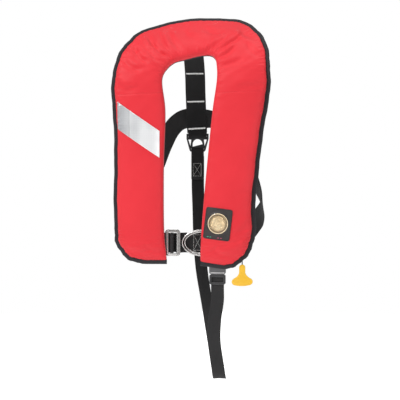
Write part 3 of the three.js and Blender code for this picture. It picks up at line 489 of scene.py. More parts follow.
cloths = {
    # darker and lighter colour, threads a metre, sheen and roughness
    "red": ((0.74, 0.022, 0.034), (0.86, 0.034, 0.048), 1150.0, 0.10, 0.5),
    "lining": ((0.018, 0.018, 0.02), (0.04, 0.04, 0.044), 900.0, 0.2, 0.72),
}
webbings = {
    # darker and lighter colour, and whether the ribs follow the piece's own map
    "binding": ((0.006, 0.006, 0.007), (0.024, 0.024, 0.028), True),
    "webbing": ((0.003, 0.003, 0.003), (0.020, 0.019, 0.020), True),
    "flatWebbing": ((0.003, 0.003, 0.003), (0.020, 0.019, 0.020), False),
}
plastics = {
    # darker and lighter colour, roughness, and where they differ coat, glow and depth of grain
    "thread": ((0.6, 0.6, 0.58), (0.78, 0.78, 0.76), 0.6),
    # a paler copy of the thread that also glows: painted light on the bar tacks, which lie in the collar's
    # shade
    "paleThread": ((0.86, 0.86, 0.84), (0.97, 0.97, 0.96), 0.6, 0.0, 0.18),
    "blackThread": ((0.015, 0.015, 0.016), (0.04, 0.04, 0.042), 0.6),
    "blackPlastic": ((0.022, 0.022, 0.024), (0.05, 0.05, 0.053), 0.38),
    "amber": ((0.90, 0.50, 0.025), (0.95, 0.58, 0.04), 0.42, 0.15),
    # a paler copy of the amber for rounded edges: a painted highlight along them
    "amberRim": ((0.97, 0.66, 0.12), (1.0, 0.74, 0.2), 0.4, 0.15),
    "buckleGrey": ((0.10, 0.10, 0.106), (0.15, 0.15, 0.158), 0.3, 0.3),
    # a paler copy for the buckles' rounded edges: a painted highlight along them
    "buckleRim": ((0.16, 0.16, 0.17), (0.24, 0.24, 0.25), 0.3, 0.3),
    # light grey for the line that paints a highlight on the buckle's bar
    "lineGrey": ((0.72, 0.72, 0.73), (0.86, 0.86, 0.87), 0.3),
    "markGreen": ((0.03, 0.35, 0.2), (0.05, 0.5, 0.3), 0.4),
    "markRose": ((0.5, 0.05, 0.12), (0.65, 0.1, 0.2), 0.4),
    "vinyl": ((0.022, 0.018, 0.018), (0.05, 0.043, 0.043), 0.5, 0.0, 0.0, 0.0001),
    "rubber": ((0.015, 0.015, 0.015), (0.03, 0.03, 0.03), 0.7),
    "mouthRed": ((0.55, 0.03, 0.03), (0.66, 0.05, 0.05), 0.4),
    # the gold glows a little: painted light on the cap, which lies in shade behind the lens
    "gold": ((0.94, 0.66, 0.34), (1.0, 0.9, 0.66), 0.24, 0.6, 0.10),
    "bladder": ((0.75, 0.5, 0.04), (0.85, 0.6, 0.07), 0.55, 0.0, 0.0, 0.0002),
    "cylinder": ((0.25, 0.26, 0.27), (0.36, 0.37, 0.38), 0.35),
}


def makeMaterials():
    made = {"steel": steelMaterial(), "reflective": reflectiveMaterial(), "lens": lensMaterial()}
    for recipe, table in ((clothMaterial, cloths), (webbingMaterial, webbings), (plasticMaterial, plastics)):
        made.update({name: recipe(name, *values) for name, values in table.items()})
    return made


film = {
    "color": (0.78, 0.8, 0.82, 1), "rough": 0.34, "metal": 0.35, "cells": 260, "uneven": 0.12, "line": 0.05,
    "lineDark": 0.18, "slow": 16.0, "fast": 2000.0, "drift": (0.7, 0.45), "across": (6.5, 0.78),
    "seamX": -0.1337, "outside": -0.22, "waves": 170.0, "wave": 0.09, "bump": (0.00008, 0.4),
    "low": (0.36, 0.37, 0.39), "high": (0.96, 0.97, 0.98),
}


def reflectiveMaterial():
    # tiny glass beads behind film, with faint hexagonal sealing lines from a Voronoi pattern
    material, shader = newMaterial("reflectiveFilm", film["color"], film["rough"], film["metal"])
    tree = material.node_tree
    cells = tree.nodes.new("ShaderNodeTexVoronoi")
    cells.feature = "DISTANCE_TO_EDGE"
    cells.inputs["Scale"].default_value = film["cells"]
    cells.inputs["Randomness"].default_value = film["uneven"]
    tree.links.new(uvPoint(tree), cells.inputs["Vector"])
    line = mathNode(tree, "LESS_THAN", cells.outputs["Distance"], film["line"])
    slow, _ = drift(tree, film["slow"], film["fast"])
    split = tree.nodes.new("ShaderNodeSeparateXYZ")
    tree.links.new(objectPoint(tree), split.inputs[0])
    x = split.outputs[0]
    # painted light makes it brighter towards the neck edge; it is also duller on the outer side of the sewn
    # seam, and in waves across
    shade = mathNode(tree, "MULTIPLY_ADD", slow, *film["drift"])
    shade = mathNode(tree, "SUBTRACT", shade, mathNode(tree, "MULTIPLY", line, film["lineDark"]))
    wave = mathNode(tree, "SINE", mathNode(tree, "MULTIPLY", x, film["waves"]))
    for part in (mathNode(tree, "MULTIPLY_ADD", x, *film["across"]),
                 mathNode(tree, "MULTIPLY", mathNode(tree, "LESS_THAN", x, film["seamX"]), film["outside"]),
                 mathNode(tree, "MULTIPLY", wave, film["wave"])):
        shade = mathNode(tree, "ADD", shade, part)
    tint(tree, shader, shade, film["low"], film["high"])
    addBump(tree, shader, line, *film["bump"])
    return material


clear = {"color": (1.0, 0.96, 0.9, 1), "rough": (0.06, 0.02), "bending": 1.3, "slow": 40.0, "fast": 700.0}


def lensMaterial():
    # clear plastic, slightly scuffed
    material, shader = newMaterial("clearLens", clear["color"], clear["rough"][1])
    tree = material.node_tree
    shader.inputs["Transmission Weight"].default_value = 1.0
    shader.inputs["IOR"].default_value = clear["bending"]
    slow, _ = drift(tree, clear["slow"], clear["fast"])
    tree.links.new(mathNode(tree, "MULTIPLY_ADD", slow, *clear["rough"]), shader.inputs["Roughness"])
    return material


materials = makeMaterials()
makeCamera()
makeStage()
print("stage and materials ready")

# the cover's sheet: (u, v) across and up the flat horseshoe, n out of it, all in metres
cover = {
    "front": 0.024, "back": 0.012, "bend": 0.150, "bendStart": -0.070, "lean": math.radians(50),
    "neckBack": 0.0173, "binding": 0.007, "gap": 0.0003, "seams": (6.45, 16.55),
    # round the collar the sewn edge is drawn forward, inward and turned up
    "drawn": 0.012, "drawnIn": 0.005, "drawnTurn": math.radians(40), "drawnLow": 0.62,
    # the stops where that drawing starts and ends, and over how many stops it grows and fades
    "drawnFrom": 6.8, "drawnTo": 17.0, "grows": 1.9, "fades": 2.0,
    # the outer edge wanders by the sum of these waves: height, turns a stop, start
    "wander": ((0.0009, 3.7, 0), (0.0005, 9.1, 1), (0.0002, 23, 2)),
    # the stops where the left lobe ends and the right one starts, and how the nearest line is looked for
    "leftTo": 7.0, "rightFrom": 16.6, "lines": 700, "batch": 2000, "beside": 0.01,
    # stops round the horseshoe: neck edge u, v and outer edge u, v in millimetres, and how full it is there
    "stops": [
        (-51.5, -464, -108, -472, 0.16), (-52, -456, -136, -464, 0.42), (-53, -444, -156, -447, 0.66),
        (-55.5, -425, -168.5, -424, 0.86), (-57.5, -395, -172, -390, 0.97), (-58, -250, -171.5, -250, 1),
        (-54.5, -120, -174.5, -125, 1), (-61, -45, -177.5, -45, 1), (-47, -20.5, -166, 10, 1),
        (-38, -12.5, -148, 45, 1), (-30, -8, -120, 80, 1), (-13, -3.5, -42, 119, 1), (28, 7.5, 50, 127, 1),
        (48, 7, 114, 115.5, 1), (59, -3, 160, 70, 1), (64, -25, 185.5, 5, 1), (65, -50, 188, -40, 1),
        (56, -115, 178, -118, 1), (43.5, -235, 160.5, -235, 1), (34, -340, 151.8, -325, 1),
        (28.5, -415, 150.5, -402, 0.97), (27.5, -438, 144, -432, 0.86), (27, -452, 128, -458, 0.66),
        (27, -461, 108, -474, 0.42), (27.5, -467, 84, -482, 0.16),
    ],
}
stopTable = np.array(cover["stops"], float) * (0.001, 0.001, 0.001, 0.001, 1)
lastStop = len(stopTable) - 1


def onSheet(u, v, n):
    # the sheet is a cylinder of radius bend above bendStart, up to the lean angle, and flat beyond it
    turn = np.clip((v - cover["bendStart"]) / cover["bend"], 0, cover["lean"])
    beyond = np.maximum(0, v - cover["bendStart"] - cover["bend"] * cover["lean"])
    below = np.minimum(v, cover["bendStart"])
    y = cover["bend"] * (1 - np.cos(turn)) + beyond * np.sin(turn) - n * np.cos(turn) - cover["neckBack"]
    z = below + cover["bend"] * np.sin(turn) + beyond * np.cos(turn) + n * np.sin(turn)
    return np.stack([u + 0 * y, y, z], -1)


def outerInset(stop, inset):
    # a point inset from the outer edge, square to it, and the inward direction there
    stop = np.atleast_1d(stop)
    table = np.concatenate([stopTable[:, 2:4] * 1000, np.zeros((lastStop + 1, 1))], 1)
    at = curveThrough(table, stop)[:, :2] / 1000
    ahead = curveThrough(table, np.minimum(stop + cover["beside"], lastStop))[:, :2]
    behind = curveThrough(table, np.maximum(stop - cover["beside"], 0))[:, :2]
    along = unit(ahead - behind)
    inward = np.stack([along[:, 1], -along[:, 0]], -1)
    wander = sum(high * np.sin(turns * stop + start) for high, turns, start in cover["wander"])
    return at + inward * (inset + wander + edgeLift(stop) * cover["drawnIn"])[:, None], inward


def edgeLift(stop):
    # round the collar the sewn edge is drawn forward, smoothly in and out
    rise = np.clip((stop - cover["drawnFrom"]) / cover["grows"], 0, 1)
    fall = np.clip((cover["drawnTo"] - stop) / cover["fades"], 0, 1)
    weight = np.minimum(rise, fall)
    return weight * weight * (3 - 2 * weight)


def frontRise(stop, share, angle, full):
    # the swell, lower towards the outer edge where the edge is drawn forward, with the folds laid on it
    weight = edgeLift(stop)
    rise = cover["front"] * full * swell(angle) * (1 - cover["drawnLow"] * weight * share**1.5)
    creased = panel["foldDepth"] * (folds(stop, share) - panel["sink"])
    rise = rise + np.sin(angle) ** panel["edgeFade"] * full * creased
    return np.maximum(rise, 0) + weight * cover["drawn"] * share**2


def edgesAt(stop):
    stop = np.atleast_1d(stop)
    table = np.concatenate([stopTable[:, 0:2] * 1000, stopTable[:, 4:5]], 1)
    neck = curveThrough(table, stop)
    outer, _ = outerInset(stop, cover["binding"] + cover["gap"])
    return neck[:, :2] / 1000, outer, np.minimum(neck[:, 2], 1)


def swell(angle):
    return np.sqrt(np.maximum(np.sin(angle), 0))


def nearestLine(flat, low, high):
    # each flat point's stop, and its share of the way from neck to outer edge, by the nearest line across
    fan = np.linspace(low, high, cover["lines"])
    neck, outer, full = edgesAt(fan)
    line = outer - neck
    stop, share, fullness = np.zeros((3, len(flat)))
    for start in range(0, len(flat), cover["batch"]):
        part = slice(start, start + cover["batch"])
        gap = flat[part, None, :] - neck[None]
        along = np.clip((gap * line[None]).sum(-1) / (line**2).sum(-1)[None], 0.001, 0.999)
        distance = ((gap - along[..., None] * line[None]) ** 2).sum(-1)
        pick = distance.argmin(1)
        stop[part], fullness[part] = fan[pick], full[pick]
        share[part] = along[np.arange(len(pick)), pick]
    return stop, share, fullness


def heightAt(u, v, right):
    # how far the front stands off the sheet at points of the right or left lobe
    flat = np.stack([np.ravel(u), np.ravel(v)], -1)
    low, high = (cover["rightFrom"], lastStop) if right else (0.0, cover["leftTo"])
    stop, share, full = nearestLine(flat, low, high)
    height = cover["gap"] / 2 + frontRise(stop, share, np.arccos(1 - 2 * share), full)
    return height.reshape(np.shape(u))


# cover: three front panels and three lining panels, with sewn ends and soft folds
panel = {
    "across": 72, "perStop": 24, "wall": 0.0011, "foldDepth": 0.0030, "seamDepth": 0.0002, "seamReach": 0.022,
    "edgeFade": 0.6, "sink": 0.6, "backFolds": 0.4, "round": 1.15, "fill": 0.5,
    # where the puckers lie between the edges, how far they reach, and how strong all waves are
    "puckersAt": (0.97, 0.09), "neckPuckersAt": (0.03, 0.10), "strength": 0.6, "creaseHeight": 0.018,
    # waves by the outer edge, by the neck edge and everywhere: height, turns a stop, turns across, start
    "puckers": ((0.50, 31, 0, 0), (0.40, 47, 0, 2)),
    "neckPuckers": ((0.3, 23, 0, 1), (0.3, 37, 0, 0)),
    "loose": ((0.30, 2.3, 5, 0), (0.24, 5.1, -7, 2), (0.14, 11.7, 13, 0.7)),
    # creases: from x, z to x, z in millimetres, half width, depth (a ridge where negative)
    "creases": [
        (-94, 40, -47, 2, 5.0, 3.4), (-130, 30, -98, -12, 6.0, 3.0), (-74, 58, -32, 2, 5.0, 2.6),
        (-112, 52, -70, 14, 6.0, -2.6), (-152, -5, -112, -30, 7.0, 2.4), (-100, 12, -62, -20, 5.0, -1.8),
        (-52, 62, -18, 14, 6.0, 1.8), (-150, 22, -118, 8, 6.0, -2.0), (59, 13, 120, 55, 5.0, 2.8),
        (20, 10, 80, 42, 6.0, 2.2), (60, -4, 104, 24, 5.0, 2.2), (64, -18, 120, -8, 6.0, 1.8),
        (100, 66, 140, 36, 7.0, -2.2), (30, 66, 78, 58, 6.0, 1.8), (-20, 66, 22, 38, 8.0, 1.6),
        (130, 30, 168, 0, 7.0, 1.8), (-168, -60, -120, -74, 8.0, 1.6), (118, -70, 172, -58, 8.0, 1.4),
        (58, -440, 110, -455, 6.0, 2.2), (84, -436, 132, -418, 6.0, -1.6), (34, -446, 70, -430, 5.0, 1.8),
        (-150, -436, -96, -446, 7.0, 1.8), (-100, -430, -66, -446, 6.0, 1.4),
        (112, -400, 146, -372, 7.0, 1.6),
    ],
}


# each crease's gentle sway, how it fades at its ends, and the low ridge along one side of it
crease = {"sway": 5, "swayTurns": 3, "before": 0.1, "after": 1.15, "fade": 3, "ridge": 0.55, "ridgeAt": 1.7,
          "ridgeWide": 1.6}


def waves(rows, stop, share):
    return sum(high * np.sin(along * stop + across * share + start) for high, along, across, start in rows)


def folds(stop, share):
    # soft creases along the listed lines, puckers by the sewn edges, and a slow unevenness everywhere;
    # each crease is a bell across its line, faded towards both ends, with one side steeper than the other
    stop, share = np.broadcast_arrays(np.asarray(stop, float), np.asarray(share, float))
    neck, outer, _ = edgesAt(stop.ravel())
    flat = neck + (outer - neck) * share.reshape(-1, 1)
    height = np.full(len(flat), panel["creaseHeight"])
    place = onSheet(flat[:, 0], flat[:, 1], height)[:, [0, 2]] * 1000
    total = np.zeros(len(flat))
    for x0, z0, x1, z1, wide, depth in panel["creases"]:
        start, run = np.array([x0, z0], float), np.array([x1 - x0, z1 - z0], float)
        length = np.linalg.norm(run)
        along = (place - start) @ run / length**2
        sway = crease["sway"] * np.sin(crease["swayTurns"] * along)
        side = ((place - start) @ np.array([-run[1], run[0]]) / length + sway) / wide
        fade = np.clip(np.minimum(along + crease["before"], crease["after"] - along) * crease["fade"], 0, 1)
        beside = crease["ridge"] * np.exp(-((side - crease["ridgeAt"]) ** 2) / crease["ridgeWide"])
        total -= depth * fade * (np.exp(-(side**2)) - beside)
    creases = total.reshape(stop.shape) / 2
    loose = waves(panel["loose"], stop, share)
    for rows, (middle, reach) in (("puckers", panel["puckersAt"]), ("neckPuckers", panel["neckPuckersAt"])):
        loose = loose + np.exp(-(((share - middle) / reach) ** 2)) * waves(panel[rows], stop, share)
    return creases + panel["strength"] * loose


def panelGrid(start, end, height, sign, sewnStart, sewnEnd):
    # across, an angle from 0 to half a turn: its cosine spaces the points, and its sine's root is the swell
    count = max(8, int((end - start) * panel["perStop"]))
    stop = np.linspace(start, end, count)
    angle = np.linspace(0, math.pi, panel["across"])
    neck, outer, full = edgesAt(stop)
    share = (1 - np.cos(angle)) / 2
    flat = neck[:, None, :] + (outer - neck)[:, None, :] * share[None, :, None]
    s, q = np.meshgrid(stop, share, indexing="ij")
    body = np.sin(angle)[None, :] ** panel["edgeFade"]
    if sign > 0:
        rise = frontRise(s, q, np.broadcast_to(angle, s.shape), full[:, None])
    else:
        rise = height * full[:, None] * swell(angle)[None, :]
        creased = panel["backFolds"] * panel["foldDepth"] * (folds(s + 3, q) - 1)
        rise = rise + body * full[:, None] * creased
        rise = rise - edgeLift(s) * cover["drawn"] * q**2
    for sewn, edge in ((sewnStart, start), (sewnEnd, end)):
        if sewn:
            rise = rise - body * panel["seamDepth"] * np.exp(-(np.abs(s - edge) / panel["seamReach"]))
    n = sign * (cover["gap"] / 2 + rise)
    grid = onSheet(flat[..., 0], flat[..., 1], n)
    run = travelled(grid[:, panel["across"] // 2])
    width = np.linalg.norm(outer - neck, axis=1).mean()
    uv = np.stack(np.meshgrid(run, share * width * panel["round"], indexing="ij"), -1)
    return grid, uv


def makePanels():
    first, second = cover["seams"]
    spans = {"left": (0, first, False, True), "collar": (first, second, True, True),
             "right": (second, lastStop, True, False)}
    for side, (start, end, sewnStart, sewnEnd) in spans.items():
        for face, height, sign in (("front", cover["front"], 1), ("back", cover["back"], -1)):
            grid, uv = panelGrid(start, end, height, sign, sewnStart, sewnEnd)
            piece = gridPiece(f"panel_{face}_{side}", grid, uv=uv)
            turnToFront(piece, sign)
            if side == "right" and face == "front":
                changeMesh(piece.data, cutWindow)
            addWall(piece, panel["wall"])
            # the thin rims hardly turn the shading of the wide faces beside them
            shade = piece.modifiers.new("shade", "WEIGHTED_NORMAL")
            shade.mode = "FACE_AREA"
            shade.weight = 100
            material, slotName = ("red", "cover_red") if sign > 0 else ("lining", "lining")
            dress(piece, material, slotName, f"cover_{face}_{side}")


window = {
    "centre": (0.0698, -0.379), "lens": 0.046, "width": 0.062, "height": 0.072, "turn": math.radians(-7),
    "shift": (-0.0006, -0.001), "corner": 0.005, "lift": 0.0018, "wall": 0.0012, "steps": 26, "sewnStep": 22,
    # the rim round the lens, the groove and the rolled edge: height, where and how wide
    "rim": 0.0016, "rimAt": 0.0018, "rimWide": 0.0016, "groove": 0.0004, "grooveAt": 0.86, "grooveWide": 0.03,
    "edgeDown": 0.0009, "edgeFrom": 0.96, "under": 0.0004, "sewnProud": 0.0002,
    "dome": 0.0030, "sunk": 0.0004, "lensWall": 0.001, "reflection": 0.0009, "reflectionIn": 0.0006,
    "reflectionLift": 0.0026, "clear": 0.0015, "around": 128, "domeRings": 20, "reflectionSides": 12,
}


def cutWindow(work):
    # leaves out the faces behind the lens
    u, v = window["centre"]
    reach = window["lens"] / 2 + window["clear"]
    centres = ((face, face.calc_center_median()) for face in work.faces)
    inside = [face for face, c in centres if math.hypot(c.x - u, c.z - v) < reach]
    bmesh.ops.delete(work, geom=inside, context="FACES")


makePanels()
print("cover panels ready")


# edge binding: a folded tape over the seam, swept along the outer edge and both feet
binding = {"width": 0.0115, "thick": 0.0062, "stepsPerStop": 14, "footSteps": 18, "footEnd": 0.14,
           "stitchAt": 0.27, "square": 0.6, "sides": 20, "ripple": ((0.05, 410, 0), (0.05, 167, 1)),
           "sunk": 0.0001}


def foot(edge, shares):
    # the middle of the binding below a lobe's foot, and the way up from it
    neck, outer, _ = (x[0] for x in edgesAt(edge))
    along = neck - outer
    square = unit(np.array([along[1], -along[0]]))
    square = -square if square[1] < 0 else square
    below = square * (cover["binding"] / 2 + cover["gap"])
    return outer + along * shares[:, None] - below, np.tile(square, (len(shares), 1))


def edgePath():
    stop = np.linspace(0, lastStop, int(lastStop * binding["stepsPerStop"]))
    middle, inward = outerInset(stop, cover["binding"] / 2)
    shares = np.linspace(1.0, binding["footEnd"], binding["footSteps"])
    startAt, startIn = foot(0.0, shares)
    endAt, endIn = foot(float(lastStop), shares[::-1])
    level = np.zeros(binding["footSteps"])
    lift = np.concatenate([level, edgeLift(stop) * cover["drawn"], level])
    return np.vstack([startAt, middle, endAt]), unit(np.vstack([startIn, inward, endIn])), lift


def squared(value):
    # a sine or cosine raised to a power under one, signed, which squares the ellipse that it draws
    return np.sign(value) * np.abs(value) ** binding["square"]


def makeBinding():
    # a squared ellipse carried along the edge, tipped where the edge is drawn forward, with ripples
    at, inward, lift = edgePath()
    turn = fullTurn(binding["sides"])
    across = squared(np.cos(turn)) * binding["width"] / 2
    out = squared(np.sin(turn)) * binding["thick"] / 2
    run = travelled(at)
    ripple = 1 + sum(high * np.sin(run * turns + start) for high, turns, start in binding["ripple"])
    tip = (lift / cover["drawn"] * cover["drawnTurn"])[:, None]
    inPlane = across[None, :] * np.cos(tip) + out[None, :] * np.sin(tip)
    offPlane = out[None, :] * ripple[:, None] * np.cos(tip) - across[None, :] * np.sin(tip)
    flat = at[:, None, :] + inward[:, None, :] * inPlane[..., None]
    grid = onSheet(flat[..., 0], flat[..., 1], offPlane + lift[:, None])
    uv = np.stack(np.meshgrid(np.cumsum(np.full(len(turn), 0.0011)), run, indexing="xy"), -1)
    piece = gridPiece("binding_tape", grid, closeV=True, caps=True, uv=uv)
    dress(piece, "binding", "binding", "edge_binding")
    return at, inward, lift


bindingAt, bindingInward, bindingLift = makeBinding()


# stitches: short rounded threads laid along a line, sunk a little at both ends
stitch = {"length": 0.0026, "space": 0.0012, "radius": 0.00028, "tip": 0.35, "lift": 0.0001, "rows": 7,
          "sides": 6}


def makeStitches(name, path, normal, slotName, material, **changed):
    # each stitch is a spindle whose radius grows from its tip with the root of half a sine
    size = {**stitch, **changed}
    path, normal = np.asarray(path, float), unit(np.asarray(normal, float))
    run, length = travelled(path), size["length"]
    starts = np.arange(0, max(run[-1] - length, length * 0.5), length + size["space"])
    t = np.linspace(0, 1, size["rows"])
    along = starts[:, None] + t[None, :] * length
    centre = np.stack([np.interp(along, run, path[:, k]) for k in range(3)], -1)
    up = unit(np.stack([np.interp(along, run, normal[:, k]) for k in range(3)], -1))
    side = unit(np.cross(unit(np.gradient(centre, axis=1)), up))
    hump = np.sin(math.pi * t)
    centre = centre + up * (size["lift"] + size["radius"] * 0.7 * hump[None, :, None])
    ring = fullTurn(size["sides"])[:, None]
    radius = (size["radius"] * (size["tip"] + (1 - size["tip"]) * np.sqrt(hump)))[None, :, None, None]
    around = side[:, :, None] * (np.cos(ring) * radius) + up[:, :, None] * (np.sin(ring) * radius)
    grid = centre[:, :, None] + around
    count, rows, columns = grid.shape[:3]
    first = (np.arange(count) * rows * columns)[:, None, None]
    faces = (gridFaces(rows, columns, closeV=True)[None] + first).reshape(-1, 4)
    caps = np.stack([np.arange(columns)[::-1], (rows - 1) * columns + np.arange(columns)])
    caps = (caps[None] + first).reshape(-1, columns)
    mesh = bpy.data.meshes.new(name)
    mesh.from_pydata(grid.reshape(-1, 3).tolist(), [], faces.tolist() + caps.tolist())
    turnOutward(mesh)
    dress(finishPiece(mesh, name), material, slotName)


def stitchFront(name, path, slotName, material, facing=-1.0, **changed):
    makeStitches(name, path, np.tile((0, facing, 0), (len(path), 1)), slotName, material, **changed)


def bindingStitches():
    tip = bindingLift / cover["drawn"] * cover["drawnTurn"]
    across = binding["width"] * binding["stitchAt"]
    for face, sign in (("front", 1), ("back", -1)):
        courses = []
        for far in (binding["thick"] / 2 - binding["sunk"], binding["thick"] / 2 + 0.001):
            out = sign * far
            flat = bindingAt + bindingInward * (across * np.cos(tip) + out * np.sin(tip))[:, None]
            height = bindingLift + out * np.cos(tip) - across * np.sin(tip)
            courses.append(onSheet(flat[:, 0], flat[:, 1], height))
        path, lifted = courses
        makeStitches(f"binding_stitches_{face}", path, lifted - path, "binding", "blackThread")


bindingStitches()
print("binding ready")


# reflective tape and window, laid over the swell
def drapeGrid(corners, lift, columns, rows, right):
    # four corners round the patch, blended both ways, each point lifted off the cover's front
    a, b, c, d = (np.array(p) for p in corners)
    s, t = np.meshgrid(np.linspace(0, 1, columns), np.linspace(0, 1, rows), indexing="ij")
    s, t = s[..., None], t[..., None]
    flat = (a * (1 - s) + b * s) * (1 - t) + (d * (1 - s) + c * s) * t
    height = heightAt(flat[..., 0], flat[..., 1], right) + lift
    return onSheet(flat[..., 0], flat[..., 1], height), flat


tape = {
    "corners": [(-0.163, -0.1635), (-0.065, -0.2295), (-0.065, -0.1685), (-0.163, -0.1015)], "lift": 0.0011,
    "wall": 0.0005, "seamAt": 0.30, "seamDip": 0.0007, "seamWidth": 0.012, "ripple": 0.00025, "columns": 90,
    "rows": 40, "sewnIn": 2, "thread": 0.00022, "proud": 0.0004,
}


def makeTape():
    grid, flat = drapeGrid(tape["corners"], tape["lift"], tape["columns"], tape["rows"], False)
    s = np.linspace(0, 1, tape["columns"])[:, None]
    # the sewn seam pulls the film down, and the film ripples gently beside it
    dip = tape["seamDip"] * np.exp(-(((s - tape["seamAt"]) / tape["seamWidth"]) ** 2))
    grid[..., 1] += dip - tape["ripple"] * np.sin(17 * s)
    piece = gridPiece("tape_film", grid, uv=flat)
    turnToFront(piece)
    addWall(piece, tape["wall"])
    dress(piece, "reflective", "reflective", "reflective_tape")
    seam, edge = int(tape["seamAt"] * (tape["columns"] - 1)), tape["sewnIn"]
    courses = {"low": grid[:, edge], "high": grid[:, -edge - 1], "seam": grid[seam, edge:-edge]}
    for name, path in courses.items():
        stitchFront(f"tape_stitches_{name}", path + (0, -tape["proud"], 0), "reflective", "thread",
                    radius=tape["thread"])


def roundedSquare(angle, width, height, corner):
    # the outline at each angle: a box ray shortened inside the corner circles
    c, s = np.cos(angle), np.sin(angle)
    reach = 1 / np.maximum(np.abs(c) / (width / 2), np.abs(s) / (height / 2))
    x, y = c * reach, s * reach
    inX, inY = width / 2 - corner, height / 2 - corner
    dx, dy = np.maximum(np.abs(x) - inX, 0), np.maximum(np.abs(y) - inY, 0)
    over = np.maximum(np.hypot(dx, dy) / corner, 1)
    bothOut = (dx > 0) & (dy > 0)
    x = np.where(bothOut, np.sign(x) * (inX + dx / over), x)
    y = np.where(bothOut, np.sign(y) * (inY + dy / over), y)
    return x, y


def windowRing(angle, radius):
    u0, v0 = window["centre"]
    return u0 + np.cos(angle) * radius, v0 + np.sin(angle) * radius


def makeWindow():
    # the frame: lines that run straight from the lens's circle to a turned square with round corners
    (u0, v0), radius = window["centre"], window["lens"] / 2
    angle = fullTurn(window["around"])
    ox, oy = roundedSquare(angle, window["width"], window["height"], window["corner"])
    c, s = math.cos(window["turn"]), math.sin(window["turn"])
    outerU = u0 + window["shift"][0] + ox * c - oy * s
    outerV = v0 + window["shift"][1] + ox * s + oy * c
    innerU, innerV = windowRing(angle, radius - window["under"])
    t = np.linspace(0, 1, window["steps"])[:, None]
    u, v = innerU * (1 - t) + outerU * t, innerV * (1 - t) + outerV * t
    fromLens = np.hypot(u - u0, v - v0) - radius
    # a raised rim round the lens, a pressed groove inside the outer edge, and an edge rolled down
    rise = window["rim"] * np.exp(-(((fromLens - window["rimAt"]) / window["rimWide"]) ** 2))
    rise = rise - window["groove"] * np.exp(-(((t - window["grooveAt"]) / window["grooveWide"]) ** 2))
    rolled = np.clip((t - window["edgeFrom"]) / (1 - window["edgeFrom"]), 0, 1)
    rise = rise - window["edgeDown"] * rolled**2
    grid = onSheet(u, v, heightAt(u, v, True) + window["lift"] + rise)
    piece = gridPiece("window_frame", grid, closeV=True, uv=np.stack([u, v], -1))
    turnToFront(piece)
    addWall(piece, window["wall"])
    dress(piece, "vinyl", "patch", "window_patch")
    sewn = grid[window["sewnStep"]]
    path = np.vstack([sewn, sewn[:1]]) + (0, -window["sewnProud"], 0)
    stitchFront("window_stitches", path, "patch", "blackThread")
    # the lens: a shallow dome over the opening
    r = np.linspace(0, 1, window["domeRings"])[:, None]
    u, v = windowRing(angle, radius * r)
    level = heightAt(np.array([[u0]]), np.array([[v0]]), True) - window["sunk"]
    dome = gridPiece("lens_dome", onSheet(u, v, level + window["dome"] * (1 - r**2)), closeV=True, pole=True,
                     uv=np.stack([u, v], -1))
    turnToFront(dome)
    addWall(dome, window["lensWall"])
    dress(dome, "lens", "lens", "window_lens")
    # light ring round the lens: a painted reflection of the lens's edge
    turn, thick = fullTurn(window["reflectionSides"])[None, :], window["reflection"]
    u, v = windowRing(angle[:, None], radius - window["reflectionIn"] + thick * np.cos(turn))
    level = heightAt(u, v, True) + window["reflectionLift"] + thick * np.sin(turn)
    dress(gridPiece("lens_reflection_ring", onSheet(u, v, level), closeU=True, closeV=True), "gold", "cap")


# two pairs of small plain dots at the foot of the window's frame
marks = {
    "size": (0.0022, 0.0009, 0.0006), "around": 24, "rings": 8,
    "places": {"green_1": (0.0462, -0.4085), "green_2": (0.0525, -0.4092), "rose_1": (0.0702, -0.4115),
               "rose_2": (0.0768, -0.4123)},
}


def makeMarks():
    # each dot is the upper half of a flat ellipsoid
    turn, tall = fullTurn(marks["around"])[None, :], np.linspace(0, math.pi / 2, marks["rings"])[:, None]
    wide, high, deep = marks["size"]
    for name, (x, z) in marks["places"].items():
        u, v = x + wide * np.sin(tall) * np.cos(turn), z + high * np.sin(tall) * np.sin(turn)
        rise = heightAt(u, v, True) + window["lift"] + deep * np.cos(tall) + 0 * turn
        piece = gridPiece(f"mark_{name}", onSheet(u, v, rise), closeV=True, pole=True)
        turnToFront(piece)
        dress(piece, "markGreen" if name.startswith("green") else "markRose", "patch")


cap = {"radius": 0.0232, "turned": 0.0212, "waves": 9, "wave": 0.0012, "fall": 0.004, "band": 0.0155,
       "bandWidth": 0.0035, "ridges": 36, "ridge": 0.0007, "sunk": 0.0018, "wall": 0.0015,
       "around": 180, "rings": 64}


def makeCap():
    # the inflator's cap: a turned disc with rings, and radial ridges cut into its outer band
    angle, r = fullTurn(cap["around"])[None, :], np.linspace(0, cap["radius"], cap["rings"])[:, None]
    rise = cap["wave"] * np.cos(r / cap["turned"] * cap["waves"]) - cap["fall"] * (r / cap["turned"]) ** 4
    band = np.exp(-(((r - cap["band"]) / cap["bandWidth"]) ** 2))
    rise = rise + cap["ridge"] * band * np.sin(cap["ridges"] * angle)
    x, z = windowRing(angle, r)
    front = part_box("inflator_cap")[0][1]
    grid = np.stack([x, front - cap["sunk"] - rise, z], -1)
    piece = gridPiece("cap_face", grid, closeV=True, pole=True)
    turnToFront(piece)
    addWall(piece, cap["wall"])
    dress(piece, "gold", "cap", "inflator_cap")


makeTape()
makeWindow()
makeMarks()
makeCap()
print("tape and window ready")

# webbing: a flat strap with rounded selvedges, carried along a path of [x, y, z, facing] stops in mm
strap = {"thick": 0.002, "perMm": 0.28, "across": 12, "fewest": 24}


